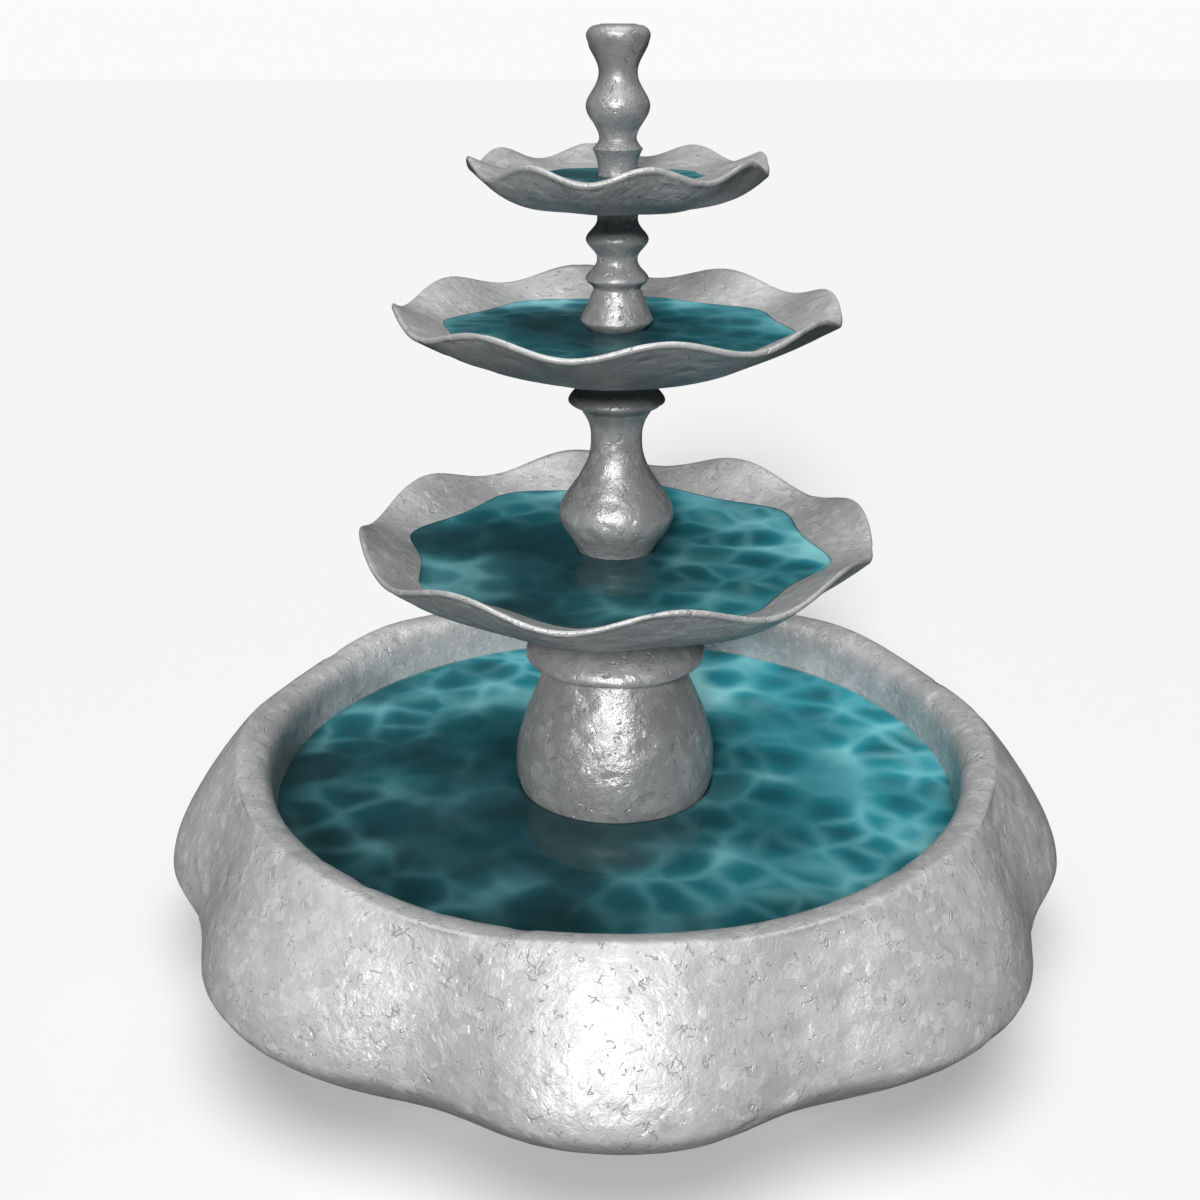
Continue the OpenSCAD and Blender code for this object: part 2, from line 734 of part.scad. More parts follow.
// Outline of the pedestal, above the pool's floor. The bulb's curve runs on under the collar.
foot_out_r = collar_r + 0.3;
bulb_curve = [
    [foot_out_r, 0, LINE], [foot_out_r, 0.06, LINE], [foot_out_r - 1.7, 0.11, EASE],
    [pedestal_r, 0.323, 1.45], [pedestal_r - 18.3, 0.891, EASE]
];
collar_z = pedestal_z + 0.765 * pedestal_h;
bulb_line = [for (p = turned(bulb_curve, pedestal_z, pedestal_h)) if (p[1] < collar_z) p];
collar_line = turned([
    [collar_r - 0.6, 0, LINE], [collar_r, 0.03, LINE], [collar_r, 0.07, LINE],
    [collar_r - 13.5, 0.7, EASE], [collar_r - 11, 1, -2]
], collar_z, lower_bowl_z - collar_z);

module inlet_notches() {
    for (a = [130, 180, 230]) rotate(a) {
        translate([-6, -pedestal_r - 5, pool_floor_z - 1]) cube([12, 30, 5]);
        translate([0, -pedestal_r - 5, pool_floor_z + 4]) rotate([-90, 0, 0]) cylinder(r = 6, h = 30);
    }
}

module pedestal() {
    bore = pedestal_foot_bore;
    color(stone) difference() {
        rotate_extrude() polygon(concat(
            [[0, pedestal_z]], bulb_line, collar_line, [[0, lower_bowl_z]]
        ));
        rotate_extrude() polygon([
            [0, pedestal_z - 1], [bore, pedestal_z - 1], [bore, pool_floor_z + 14],
            [pedestal_r - 7.8, pedestal_z + 0.323 * pedestal_h],
            [pedestal_r - 12.3, pedestal_z + 0.5 * pedestal_h],
            [riser_bore + 3, pedestal_z + 0.72 * pedestal_h], [0, pedestal_z + 0.72 * pedestal_h]
        ]);
        translate([0, 0, pedestal_z + 0.5 * pedestal_h]) cylinder(r = riser_bore, h = pedestal_h);
        translate([0, 0, lower_bowl_z - lower_hub_h - hub_end_gap])
            cylinder(r = lower_hub_r + cement_gap, h = pedestal_h);
        inlet_notches();
    }
}

// A stem on a spigot, with a seat for the seal under its foot and a socket for the hub above it.
module stem(outline, z, top_z, spigot_r, spigot_h, seal_r, hub_r, hub_h) {
    color(stone) difference() {
        union() {
            rotate_extrude() polygon(concat([[0, z]], outline, [[0, top_z]]));
            translate([0, 0, z - spigot_h]) cylinder(r = spigot_r, h = spigot_h + seal_t + 1);
        }
        ring(seal_r, spigot_r, seal_t + 1, z - 1);
        translate([0, 0, z - spigot_h - 1]) cylinder(r = riser_bore, h = top_z - z + spigot_h + 2);
        translate([0, 0, top_z - hub_h - hub_end_gap])
            cylinder(r = hub_r + cement_gap, h = hub_h + 1);
    }
}

// The seal hangs a hair above the floor that it presses on.
module seal(z, outer, inner) {
    color(rubber) ring(outer, inner, seal_t + seat_gap - 0.05, z - seat_gap + 0.05);
}

middle_foot_r = middle_stem_r - 7.1;
middle_seal_r = middle_foot_r - 3.2;
middle_stem_knots = [
    [middle_foot_r, 0, LINE], [middle_foot_r, 0.024, LINE], [middle_stem_r - 9.9, 0.1, EASE],
    [middle_stem_r, 0.342, 0.87], [middle_stem_r - 14.1, 0.718, 1.27],
    [middle_stem_r - 10.5, 0.835, -2.2], [middle_stem_r - 4.4, 0.889, EASE],
    [middle_stem_r - 9.7, 1, 1.3]
];

module middle_stem() {
    stem(turned(middle_stem_knots, middle_stem_z, middle_bowl_z - middle_stem_z),
        middle_stem_z, middle_bowl_z, middle_spigot_r, lower_floor + lower_hub_h - spigot_end_gap,
        middle_seal_r, middle_hub_r, middle_hub_h);
}

module middle_seal() {
    seal(middle_stem_z, middle_seal_r, middle_spigot_r);
}

upper_foot_r = upper_stem_r - 5.3;
upper_seal_r = upper_foot_r - 0.9;
upper_stem_knots = [
    [upper_foot_r, 0, LINE], [upper_foot_r, 0.18, LINE], [upper_stem_r, 0.293, EASE],
    [upper_stem_r - 5.3, 0.492, LINE], [upper_stem_r - 2, 0.557, EASE],
    [upper_stem_r - 6.7, 0.689, 1.2], [upper_stem_r - 2.2, 0.809, EASE],
    [upper_stem_r - 6.8, 0.938, 1.1], [upper_stem_r - 6.4, 1, EASE]
];

module upper_stem() {
    stem(turned(upper_stem_knots, upper_stem_z, upper_bowl_z - upper_stem_z),
        upper_stem_z, upper_bowl_z, upper_spigot_r, middle_floor + middle_hub_h - spigot_end_gap,
        upper_seal_r, upper_hub_r, upper_hub_h);
}

module upper_seal() {
    seal(upper_stem_z, upper_seal_r, upper_spigot_r);
}

finial_foot_r = finial_r - 5;
finial_seal_r = finial_foot_r - 0.7;
finial_knots = [
    [finial_foot_r, 0, LINE], [finial_foot_r, 0.1, LINE], [finial_r - 2.6, 0.244, -2.2],
    [finial_r - 5.3, 0.306, -1.4], [finial_r, 0.508, EASE], [finial_r - 5.1, 0.715, 1.1],
    [finial_r - 0.2, 0.93, EASE], [finial_r - 5.6, 1, ROUND]
];

module finial() {
    color(stone) difference() {
        union() {
            rotate_extrude() polygon(concat([[0, finial_z]],
                turned(finial_knots, finial_z, finial_top_z - finial_z), [[0, finial_top_z]]));
            translate([0, 0, finial_z - finial_spigot_h])
                cylinder(r = finial_spigot_r, h = finial_spigot_h + seal_t + 1);
        }
        ring(finial_seal_r, finial_spigot_r, seal_t + 1, finial_z - 1);
        translate([0, 0, finial_z - finial_spigot_h - 1]) cylinder(r = riser_bore, h = 200);
        translate([0, 0, nozzle_top_z - nozzle_h]) cylinder(r = nozzle_body_r, h = 200);
        translate([0, 0, nozzle_top_z - nozzle_flange_t]) cylinder(r = nozzle_flange_r, h = 200);
    }
}

module finial_seal() {
    seal(finial_z, finial_seal_r, finial_spigot_r);
}

module spout_nozzle() {
    color("goldenrod") difference() {
        union() {
            translate([0, 0, nozzle_top_z - nozzle_h]) cylinder(r = nozzle_body_r, h = nozzle_h);
            translate([0, 0, nozzle_top_z - nozzle_flange_t])
                cylinder(r = nozzle_flange_r, h = nozzle_flange_t);
        }
        translate([0, 0, nozzle_top_z - nozzle_h - 1]) cylinder(r = riser_r + slide_gap, h = nozzle_socket + 1);
        translate([0, 0, nozzle_top_z - nozzle_h]) cylinder(r = spout_r, h = nozzle_h + 1);
    }
}

// ---------- bowls ----------

bowl_steps = 7;
bowl_phase = 10.7;

// Scalloped bowl. flat_under and flat_top are the flat middles of its two faces, and the
// powers say how late each face curves up to the lip.
module bowl(z, r, h, floor_t, wave_h, flat_under, under_power, flat_top, top_power) {
    rim_z = z + h;
    lip_in = lip_t * 0.4;
    wave_power = 3.5;
    under = [for (i = [0:bowl_steps])
        let (u = i / bowl_steps)
        [mix(flat_under, r - lip_t * 0.3, u), z + (h - lip_t) * pow(u, under_power), 0,
            wave_h * pow(u, wave_power)]];
    top = [for (i = [bowl_steps:-1:0])
        let (u = i / bowl_steps)
        [mix(flat_top, r - lip_in, u), z + floor_t + (h - floor_t) * pow(u, top_power), 0,
            wave_h * pow(u, wave_power)]];
    lobed_solid(concat(
        [[0, z, 0, 0]], under, [[r, rim_z - lip_t / 2, 0, wave_h]], top, [[0, z + floor_t, 0, 0]]
    ), shell_steps, bowl_phase);
}

module lower_bowl() {
    hub_z = lower_bowl_z - lower_hub_h;
    color(stone) difference() {
        union() {
            bowl(lower_bowl_z, lower_bowl_r, lower_bowl_h, lower_floor, lower_wave,
                collar_r - 10, 2.86, middle_foot_r + 1.8, 1.69);
            translate([0, 0, hub_z]) cylinder(r = lower_hub_r, h = lower_hub_h + 2);
        }
        translate([0, 0, hub_z - 1]) cylinder(r = middle_spigot_r + spigot_gap, h = 60);
    }
}

module middle_bowl() {
    hub_z = middle_bowl_z - middle_hub_h;
    color(stone) difference() {
        union() {
            bowl(middle_bowl_z, middle_bowl_r, middle_bowl_h, middle_floor, middle_wave,
                middle_stem_r - 9.1, 1.97, upper_foot_r + 1, 1.63);
            translate([0, 0, hub_z]) cylinder(r = middle_hub_r, h = middle_hub_h + 2);
        }
        translate([0, 0, hub_z - 1]) cylinder(r = upper_spigot_r + spigot_gap, h = 60);
    }
}

module upper_bowl() {
    hub_z = upper_bowl_z - upper_hub_h;
    color(stone) difference() {
        union() {
            bowl(upper_bowl_z, upper_bowl_r, upper_bowl_h, upper_floor, upper_wave,
                upper_stem_r - 6.3, 3.7, finial_foot_r + 0.7, 1.1);
            translate([0, 0, hub_z]) cylinder(r = upper_hub_r, h = upper_hub_h + 2);
        }
        translate([0, 0, hub_z - 1]) cylinder(r = riser_bore, h = 60);
        translate([0, 0, upper_floor_z - finial_spigot_h - 0.5])
            cylinder(r = finial_spigot_r + spigot_gap, h = 60);
    }
}

basin();
base_plate();
base_screws();
rubber_feet();
floor_gland();
dc_socket();
dc_socket_nut();
lead_clips();
pump_lead();
lead_boot();
pump_housing();
pump_rear_cap();
stator_core();
stator_coils();
volute_cover();
volute_screws();
shaft_bushes();
impeller_shaft();
impeller();
rotor_magnet();
intake_cover();
flow_dial();
suction_cups();
riser_tube();
pedestal();
lower_bowl();
middle_seal();
middle_stem();
middle_bowl();
upper_seal();
upper_stem();
upper_bowl();
finial_seal();
finial();
spout_nozzle();
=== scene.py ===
"""Tabletop water fountain: the visual model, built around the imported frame."""

import json
import logging
import math
from dataclasses import dataclass, field
from enum import Enum
from typing import Callable, Iterable, Sequence

import bmesh
import bpy
from mathutils import Matrix, Vector

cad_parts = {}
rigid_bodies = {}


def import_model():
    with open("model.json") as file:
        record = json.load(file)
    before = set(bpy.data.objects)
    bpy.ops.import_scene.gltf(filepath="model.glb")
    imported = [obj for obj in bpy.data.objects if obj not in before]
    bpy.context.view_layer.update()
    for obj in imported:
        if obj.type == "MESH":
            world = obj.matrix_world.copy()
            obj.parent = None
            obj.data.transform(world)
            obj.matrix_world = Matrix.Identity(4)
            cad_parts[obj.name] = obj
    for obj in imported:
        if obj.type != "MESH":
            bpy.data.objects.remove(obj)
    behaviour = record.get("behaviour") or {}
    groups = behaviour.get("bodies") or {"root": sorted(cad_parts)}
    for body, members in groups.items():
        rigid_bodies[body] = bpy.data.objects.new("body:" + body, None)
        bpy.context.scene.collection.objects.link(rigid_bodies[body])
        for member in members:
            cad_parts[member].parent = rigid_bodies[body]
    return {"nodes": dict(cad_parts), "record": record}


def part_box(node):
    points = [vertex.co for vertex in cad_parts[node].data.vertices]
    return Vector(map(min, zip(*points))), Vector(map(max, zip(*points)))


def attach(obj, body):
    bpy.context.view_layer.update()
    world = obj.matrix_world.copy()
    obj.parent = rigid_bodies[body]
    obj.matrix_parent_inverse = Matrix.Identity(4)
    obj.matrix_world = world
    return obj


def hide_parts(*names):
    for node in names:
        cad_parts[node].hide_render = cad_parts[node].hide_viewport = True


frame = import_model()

log = logging.getLogger("fountain")

MM = 0.001
TURN = 2 * math.pi
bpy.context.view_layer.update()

Colour = tuple[float, float, float]
Socket = bpy.types.NodeSocket
Feed = Socket | float


# ---------- node sheets ----------


class Sheet:
    """A node tree with short calls that add a node and return its output."""

    def __init__(self, tree: bpy.types.NodeTree) -> None:
        """Wraps an empty or fresh tree."""
        self.tree = tree

    def add(self, kind: str, feeds: dict | None = None, **settings: object) -> bpy.types.Node:
        """Adds one node.

        Args:
            kind: the node's Blender type.
            feeds: input name or index to a socket or a value.
            settings: the node's own properties.

        Returns:
            The new node.
        """
        node = self.tree.nodes.new(kind)
        for name, value in settings.items():
            setattr(node, name, value)
        for name, value in (feeds or {}).items():
            self.feed(node.inputs[name], value)
        return node

    def feed(self, socket: Socket, value: object) -> None:
        """Links a socket into another, or sets its value."""
        if isinstance(value, bpy.types.NodeSocket):
            self.tree.links.new(value, socket)
        else:
            socket.default_value = value

    def math(self, operation: str, a: Feed, b: Feed = 0.0, c: Feed = 0.0, clamp: bool = False) -> Socket:
        """Adds one Math node.

        Args:
            operation: the Math node's operation.
            a: first value.
            b: second value.
            c: third value.
            clamp: whether the result is held between 0 and 1.

        Returns:
            The node's output.
        """
        node = self.add("ShaderNodeMath", {0: a, 1: b, 2: c}, operation=operation, use_clamp=clamp)
        return node.outputs[0]

    def vector(self, operation: str, a: object, b: object = (0, 0, 0), scale: Feed | None = None) -> Socket:
        """Adds one Vector Math node and returns its vector."""
        feeds: dict = {0: a}
        if scale is None:
            feeds[1] = b
        else:
            feeds["Scale"] = scale
        return self.add("ShaderNodeVectorMath", feeds, operation=operation).outputs[0]

    def noise(
        self, at: Socket, scale: Feed, detail: float = 2.0, rough: float = 0.5, twist: float = 0.0
    ) -> Socket:
        """Adds a Noise Texture and returns its 0 to 1 value."""
        feeds = {"Vector": at, "Scale": scale, "Detail": detail, "Roughness": rough, "Distortion": twist}
        node = self.add("ShaderNodeTexNoise", feeds)
        return node.outputs[0]

    def smooth(
        self, value: Socket, low: float, high: float, to_low: float = 0.0, to_high: float = 1.0
    ) -> Socket:
        """Maps low..high smoothly onto to_low..to_high, held at both ends."""
        feeds = {0: value, 1: low, 2: high, 3: to_low, 4: to_high}
        node = self.add("ShaderNodeMapRange", feeds, interpolation_type="SMOOTHSTEP", clamp=True)
        return node.outputs[0]

    def ramp(self, value: Socket, stops: Sequence[tuple[float, Colour]]) -> Socket:
        """Adds a Color Ramp with the stops and returns its colour."""
        node = self.add("ShaderNodeValToRGB", {0: value})
        elements = node.color_ramp.elements
        while len(elements) < len(stops):
            elements.new(0.5)
        for element, (place, colour) in zip(elements, stops):
            element.position = place
            element.color = (*colour, 1.0)
        return node.outputs[0]

    def mix(self, share: Feed, a: object, b: object, blend: str = "MIX") -> Socket:
        """Adds a colour Mix node and returns its colour."""
        node = self.add("ShaderNodeMix", data_type="RGBA", blend_type=blend)
        for index, value in ((0, share), (6, a), (7, b)):
            if isinstance(value, tuple) and len(value) == 3:
                value = (*value, 1.0)
            self.feed(node.inputs[index], value)
        return node.outputs[2]


# ---------- finishes ----------


class Finish:
    """A surface finish that makes its own material once."""

    name: str
    made: dict[str, bpy.types.Material] = {}

    def material(self) -> bpy.types.Material:
        """Returns the finish's material, made on its first use."""
        if self.name not in Finish.made:
            material = bpy.data.materials.new(self.name)
            material.use_nodes = True
            material.node_tree.nodes.clear()
            sheet = Sheet(material.node_tree)
            at = sheet.add("ShaderNodeTexCoord").outputs["Object"]
            shader = sheet.add("ShaderNodeBsdfPrincipled")
            output = sheet.add("ShaderNodeOutputMaterial")
            sheet.feed(output.inputs["Surface"], shader.outputs[0])
            self.paint(sheet, shader, at)
            Finish.made[self.name] = material
        return Finish.made[self.name]

    def paint(self, sheet: Sheet, shader: bpy.types.Node, at: Socket) -> None:
        """Builds the finish's nodes into the shader."""
        raise NotImplementedError

    @staticmethod
    def bump(
        sheet: Sheet, shader: bpy.types.Node, height: Socket, depth_mm: float, strength: float = 1.0
    ) -> None:
        """Raises the surface by height, which runs from 0 to 1 over depth_mm."""
        feeds = {"Height": height, "Distance": depth_mm * MM, "Strength": strength}
        sheet.feed(shader.inputs["Normal"], sheet.add("ShaderNodeBump", feeds).outputs[0])


@dataclass(frozen=True)
class CastStone(Finish):
    """Sealed grey cast stone: mottled, chipped and softly glossy."""

    name: str = "cast stone"
    dark: Colour = (0.27, 0.27, 0.27)
    middle: Colour = (0.37, 0.37, 0.37)
    light: Colour = (0.49, 0.49, 0.49)
    flake: Colour = (0.72, 0.72, 0.72)
    # colour of the painted shade in the cracks
    crack_shade: Colour = (0.16, 0.16, 0.16)
    roughness: float = 0.38
    grain_mm: float = 0.35

    def paint(self, sheet: Sheet, shader: bpy.types.Node, at: Socket) -> None:
        """Mottles the colour, lays flakes and hollows over it, and cuts short cracks with painted shade in
        them.
        """
        drift = sheet.add("ShaderNodeTexNoise", {"Vector": at, "Scale": 90.0, "Detail": 5.0})
        bent = sheet.vector("ADD", at, sheet.vector("SCALE", drift.outputs["Color"], scale=0.0045))
        cloud = sheet.noise(at, 12.0, 3.0)
        mottle = sheet.noise(at, 85.0, 8.0, 0.66, 0.3)
        tone = sheet.math("MULTIPLY_ADD", cloud, 0.45, sheet.math("MULTIPLY", mottle, 0.62))
        colour = sheet.ramp(tone, ((0.38, self.dark), (0.54, self.middle), (0.72, self.light)))
        chips = None
        for shift, pitch, low in ((0.0, 90.0, 0.66), (0.37, 150.0, 0.62), (0.81, 240.0, 0.60)):
            moved = sheet.vector("ADD", bent, (shift, -shift, shift))
            feeds = {"Vector": moved, "Scale": pitch, "Randomness": 1.0}
            cells = sheet.add("ShaderNodeTexVoronoi", feeds).outputs["Color"]
            draw = sheet.add("ShaderNodeSeparateColor", {0: cells}).outputs[0]
            where = sheet.smooth(sheet.noise(at, pitch / 3, 3.0), 0.46, 0.54)
            chip = sheet.math("MULTIPLY", sheet.smooth(draw, low, low + 0.25), where)
            chips = chip if chips is None else sheet.math("MULTIPLY_ADD", chips, 0.7, chip)
        colour = sheet.mix(sheet.math("MULTIPLY", chips, 0.20), colour, self.flake)
        cracks = self.cracks(sheet, at)
        # painted shade: the cracks are darkened by up to 30 % towards their shade colour
        colour = sheet.mix(sheet.math("MULTIPLY", cracks, 0.30), colour, self.crack_shade)
        sheet.feed(shader.inputs["Base Color"], colour)
        gloss = sheet.smooth(mottle, 0.3, 0.7, self.roughness + 0.08, self.roughness - 0.06)
        sheet.feed(shader.inputs["Roughness"], gloss)
        shader.inputs["IOR"].default_value = 1.8
        shader.inputs["Specular IOR Level"].default_value = 0.9
        grain = sheet.noise(at, 520.0, 4.0, 0.6)
        skin = sheet.noise(bent, 150.0, 7.0, 0.66, 0.3)
        height = sheet.math("MULTIPLY_ADD", skin, 1.05, sheet.math("MULTIPLY", grain, 0.14))
        for part, rise in ((chips, 0.36), (cracks, -0.42)):
            height = sheet.math("MULTIPLY_ADD", part, rise, height)
        self.bump(sheet, shader, height, self.grain_mm * 1.9)

    @staticmethod
    def cracks(sheet: Sheet, at: Socket) -> Socket:
        """Short irregular cracks and nicks, gathered in patches.

        Args:
            sheet: the material's sheet.
            at: where the pattern is read.

        Returns:
            1 in a crack and 0 between them.
        """
        found: Socket | None = None
        for shift, pitch, low in ((0.0, 95.0, 0.61), (0.53, 190.0, 0.60)):
            place = sheet.vector("ADD", at, (shift, shift / 2, -shift))
            drift = sheet.add("ShaderNodeTexNoise", {"Vector": place, "Scale": pitch * 1.5, "Detail": 3.0})
            push = sheet.vector("SCALE", drift.outputs["Color"], scale=0.9 / pitch)
            bent = sheet.vector("ADD", place, push)
            feeds = {"Vector": bent, "Scale": pitch, "Randomness": 1.0}
            edge = sheet.add("ShaderNodeTexVoronoi", feeds, feature="DISTANCE_TO_EDGE").outputs[0]
            where = sheet.smooth(sheet.noise(place, pitch * 1.2, 2.0), low, low + 0.06)
            crack = sheet.math("MULTIPLY", sheet.smooth(edge, 0.0, 0.05, 1.0, 0.0), where)
            found = crack if found is None else sheet.math("MAXIMUM", found, crack)
        return found


@dataclass(frozen=True)
class WaterTop(Finish):
    """The skin of deep teal water, with a painted net of caustic light, painted shade that fades it under the
    bowls, painted light towards one side, and a painted glow.
    """

    name: str = "water top"
    cell_mm: float = 23.0
    # deep: the dark teal where painted shade falls and between the net's lines; body: the teal in painted
    # light
    deep: Colour = (0.014, 0.044, 0.051)
    body: Colour = (0.030, 0.360, 0.440)
    # colour of the painted caustic light
    glow: Colour = (0.42, 0.95, 1.00)
    cover: float = 0.60
    # strength of the painted glow
    painted_glow_strength: float = 0.20
    # painted shade under the bowl above: its radius and its centre's shift
    shade_r_mm: float = 120.0
    shade_shift: tuple[float, float, float] = (0.025, 0.008, 0.0)
    # base level of the painted side light
    side_light_bias: float = 0.36

    def paint(self, sheet: Sheet, shader: bpy.types.Node, at: Socket) -> None:
        """Draws a painted net of caustic light, strong in places and faint in others, over teal with painted
        shade under the bowls and painted light towards +X and +Y, and makes it glow.
        """
        drift = sheet.add("ShaderNodeTexNoise", {"Vector": at, "Scale": 600.0 / self.cell_mm, "Detail": 2.0})
        centred = sheet.vector("SUBTRACT", drift.outputs["Color"], (0.5, 0.5, 0.5))
        bent = sheet.vector("ADD", at, sheet.vector("SCALE", centred, scale=0.8 * self.cell_mm * MM))
        flat = sheet.vector("MULTIPLY", bent, (1.0, 1.0, 0.0))
        feeds = {"Vector": flat, "Scale": 1000.0 / self.cell_mm, "Randomness": 0.85}
        edge = sheet.add("ShaderNodeTexVoronoi", feeds, feature="DISTANCE_TO_EDGE").outputs[0]
        feeds["Smoothness"] = 0.7
        centre = sheet.add("ShaderNodeTexVoronoi", feeds, feature="SMOOTH_F1").outputs["Distance"]
        # painted caustic light: light lines and cell rims of a net, with darker cell middles
        line = sheet.math("POWER", sheet.smooth(edge, 0.0, 0.40, 1.0, 0.0), 3.5)
        halo = sheet.smooth(centre, 0.05, 0.70, 0.20, 1.0)
        knot = sheet.math("POWER", sheet.smooth(centre, 0.42, 0.85), 1.6)
        patch = sheet.smooth(sheet.noise(at, 15.0, 3.0), 0.36, 0.66)
        place = sheet.add("ShaderNodeSeparateXYZ", {0: at})
        reach = sheet.vector("MULTIPLY", sheet.vector("ADD", at, self.shade_shift), (1.0, 1.0, 0.0))
        radius = sheet.add("ShaderNodeVectorMath", {0: reach}, operation="LENGTH").outputs["Value"]
        # painted shadow of the bowl above: dark near the stem, clearing out to the shade radius
        out_of_painted_shade = sheet.smooth(radius, 0.25 * self.shade_r_mm * MM, self.shade_r_mm * MM, 0.10, 1.0)
        # painted light from one side: lighter towards +X and +Y, the right and the back
        across = sheet.math("MULTIPLY_ADD", place.outputs[0], 3.6, self.side_light_bias)
        side = sheet.math("MULTIPLY_ADD", place.outputs[1], 3.0, across)
        lit = sheet.math("MULTIPLY", out_of_painted_shade, sheet.math("MULTIPLY_ADD", patch, 0.35, side), clamp=True)
        # share of painted light on the teal: the net's cell rims times the painted side light and painted
        # shade
        clear = sheet.math("MULTIPLY", sheet.math("MULTIPLY_ADD", halo, 0.80, 0.20), lit)
        base = sheet.mix(clear, self.deep, self.body)
        # painted net of caustic light, laid over the teal
        net = sheet.math("MULTIPLY_ADD", line, 0.34, knot, clamp=True)
        net = sheet.math("MULTIPLY", net, sheet.math("MULTIPLY_ADD", patch, 0.75, 0.25))
        painted_net_light = sheet.math("MULTIPLY", net, sheet.math("MULTIPLY_ADD", lit, 0.9, 0.10))
        colour = sheet.mix(painted_net_light, base, self.glow)
        sheet.feed(shader.inputs["Base Color"], colour)
        # painted glow: the water emits its own colour, though it is no lamp
        sheet.feed(shader.inputs["Emission Color"], colour)
        shader.inputs["Emission Strength"].default_value = self.painted_glow_strength
        shader.inputs["Roughness"].default_value = 0.35
        shader.inputs["IOR"].default_value = 1.33
        shader.inputs["Specular IOR Level"].default_value = 0.12
        shader.inputs["Alpha"].default_value = self.cover
        self.bump(sheet, shader, sheet.noise(at, 60.0, 2.0, 0.5, 0.4), 0.35)


@dataclass(frozen=True)
class WaterSide(Finish):
    """The water's faint edge against a stem."""

    name: str = "water side"
    tint: Colour = (0.11, 0.19, 0.195)
    cover: float = 0.60

    def paint(self, sheet: Sheet, shader: bpy.types.Node, at: Socket) -> None:
        """A dark veil over the drowned stone."""
        shade = sheet.noise(at, 40.0, 2.0)
        sheet.feed(shader.inputs["Base Color"], sheet.mix(shade, self.tint, (0.15, 0.24, 0.245)))
        shader.inputs["Roughness"].default_value = 0.3
        shader.inputs["Specular IOR Level"].default_value = 0.1
        shader.inputs["Alpha"].default_value = self.cover


@dataclass(frozen=True)
class WaterBed(Finish):
    """Deep teal water where it meets its bed."""

    name: str = "water bed"
    deep: Colour = (0.008, 0.050, 0.060)
    body: Colour = (0.018, 0.190, 0.230)

    def paint(self, sheet: Sheet, shader: bpy.types.Node, at: Socket) -> None:
        """Mottles the teal in wide soft clouds."""
        cloud = sheet.smooth(sheet.noise(at, 26.0, 3.0), 0.35, 0.65)
        sheet.feed(shader.inputs["Base Color"], sheet.mix(cloud, self.deep, self.body))
        shader.inputs["Roughness"].default_value = 0.6
        shader.inputs["Specular IOR Level"].default_value = 0.0


@dataclass(frozen=True)
class Moulded(Finish):
    """Moulded plastic or rubber with a fine cast texture."""

    name: str
    colour: Colour
    worn: Colour
    roughness: float = 0.45
    grain_per_m: float = 900.0
    grain_mm: float = 0.05

    def paint(self, sheet: Sheet, shader: bpy.types.Node, at: Socket) -> None:
        """Shades the colour softly and adds the mould's grain."""
        cloud = sheet.noise(at, 45.0, 4.0)
        fine = sheet.noise(at, self.grain_per_m, 3.0)
        tone = sheet.math("MULTIPLY_ADD", cloud, 0.7, sheet.math("MULTIPLY", fine, 0.3))
        sheet.feed(shader.inputs["Base Color"], sheet.ramp(tone, ((0.35, self.colour), (0.68, self.worn))))
        gloss = sheet.smooth(cloud, 0.3, 0.7, self.roughness - 0.05, self.roughness + 0.08)
        sheet.feed(shader.inputs["Roughness"], gloss)
        self.bump(sheet, shader, fine, self.grain_mm)


@dataclass(frozen=True)
class Metal(Finish):
    """Turned, plated, wound or stacked metal with fine lines along one axis."""

    name: str
    colour: Colour
    tarnish: Colour
    roughness: float = 0.3
    lines_per_m: float = 1500.0
    axis: str = "Z"
    line_mm: float = 0.03

    def paint(self, sheet: Sheet, shader: bpy.types.Node, at: Socket) -> None:
        """Lays the lines and a little tarnish over the metal."""
        feeds = {"Vector": at, "Scale": self.lines_per_m / 20.0, "Distortion": 0.4, "Detail": 2.0}
        lines = sheet.add("ShaderNodeTexWave", feeds, bands_direction=self.axis).outputs["Fac"]
        cloud = sheet.noise(at, 120.0, 4.0)
        colour = sheet.ramp(cloud, ((0.42, self.colour), (0.72, self.tarnish)))
        sheet.feed(shader.inputs["Base Color"], colour)
        shader.inputs["Metallic"].default_value = 1.0
        gloss = sheet.smooth(cloud, 0.3, 0.7, self.roughness, self.roughness + 0.15)
        sheet.feed(shader.inputs["Roughness"], gloss)
        self.bump(sheet, shader, lines, self.line_mm)


@dataclass(frozen=True)
class ClearTube(Finish):
    """Clear flexible tube with a little haze."""

    name: str = "clear tube"
    tint: Colour = (0.72, 0.80, 0.80)
    clear: Colour = (0.86, 0.90, 0.90)

    def paint(self, sheet: Sheet, shader: bpy.types.Node, at: Socket) -> None:
        """Hazes the tube along its length."""
        haze = sheet.noise(at, 70.0, 3.0)
        colour = sheet.ramp(haze, ((0.3, self.tint), (0.7, self.clear)))
        sheet.feed(shader.inputs["Base Color"], colour)
        shader.inputs["Roughness"].default_value = 0.18
        shader.inputs["Alpha"].default_value = 0.5
        self.bump(sheet, shader, haze, 0.1)


STONE = CastStone()
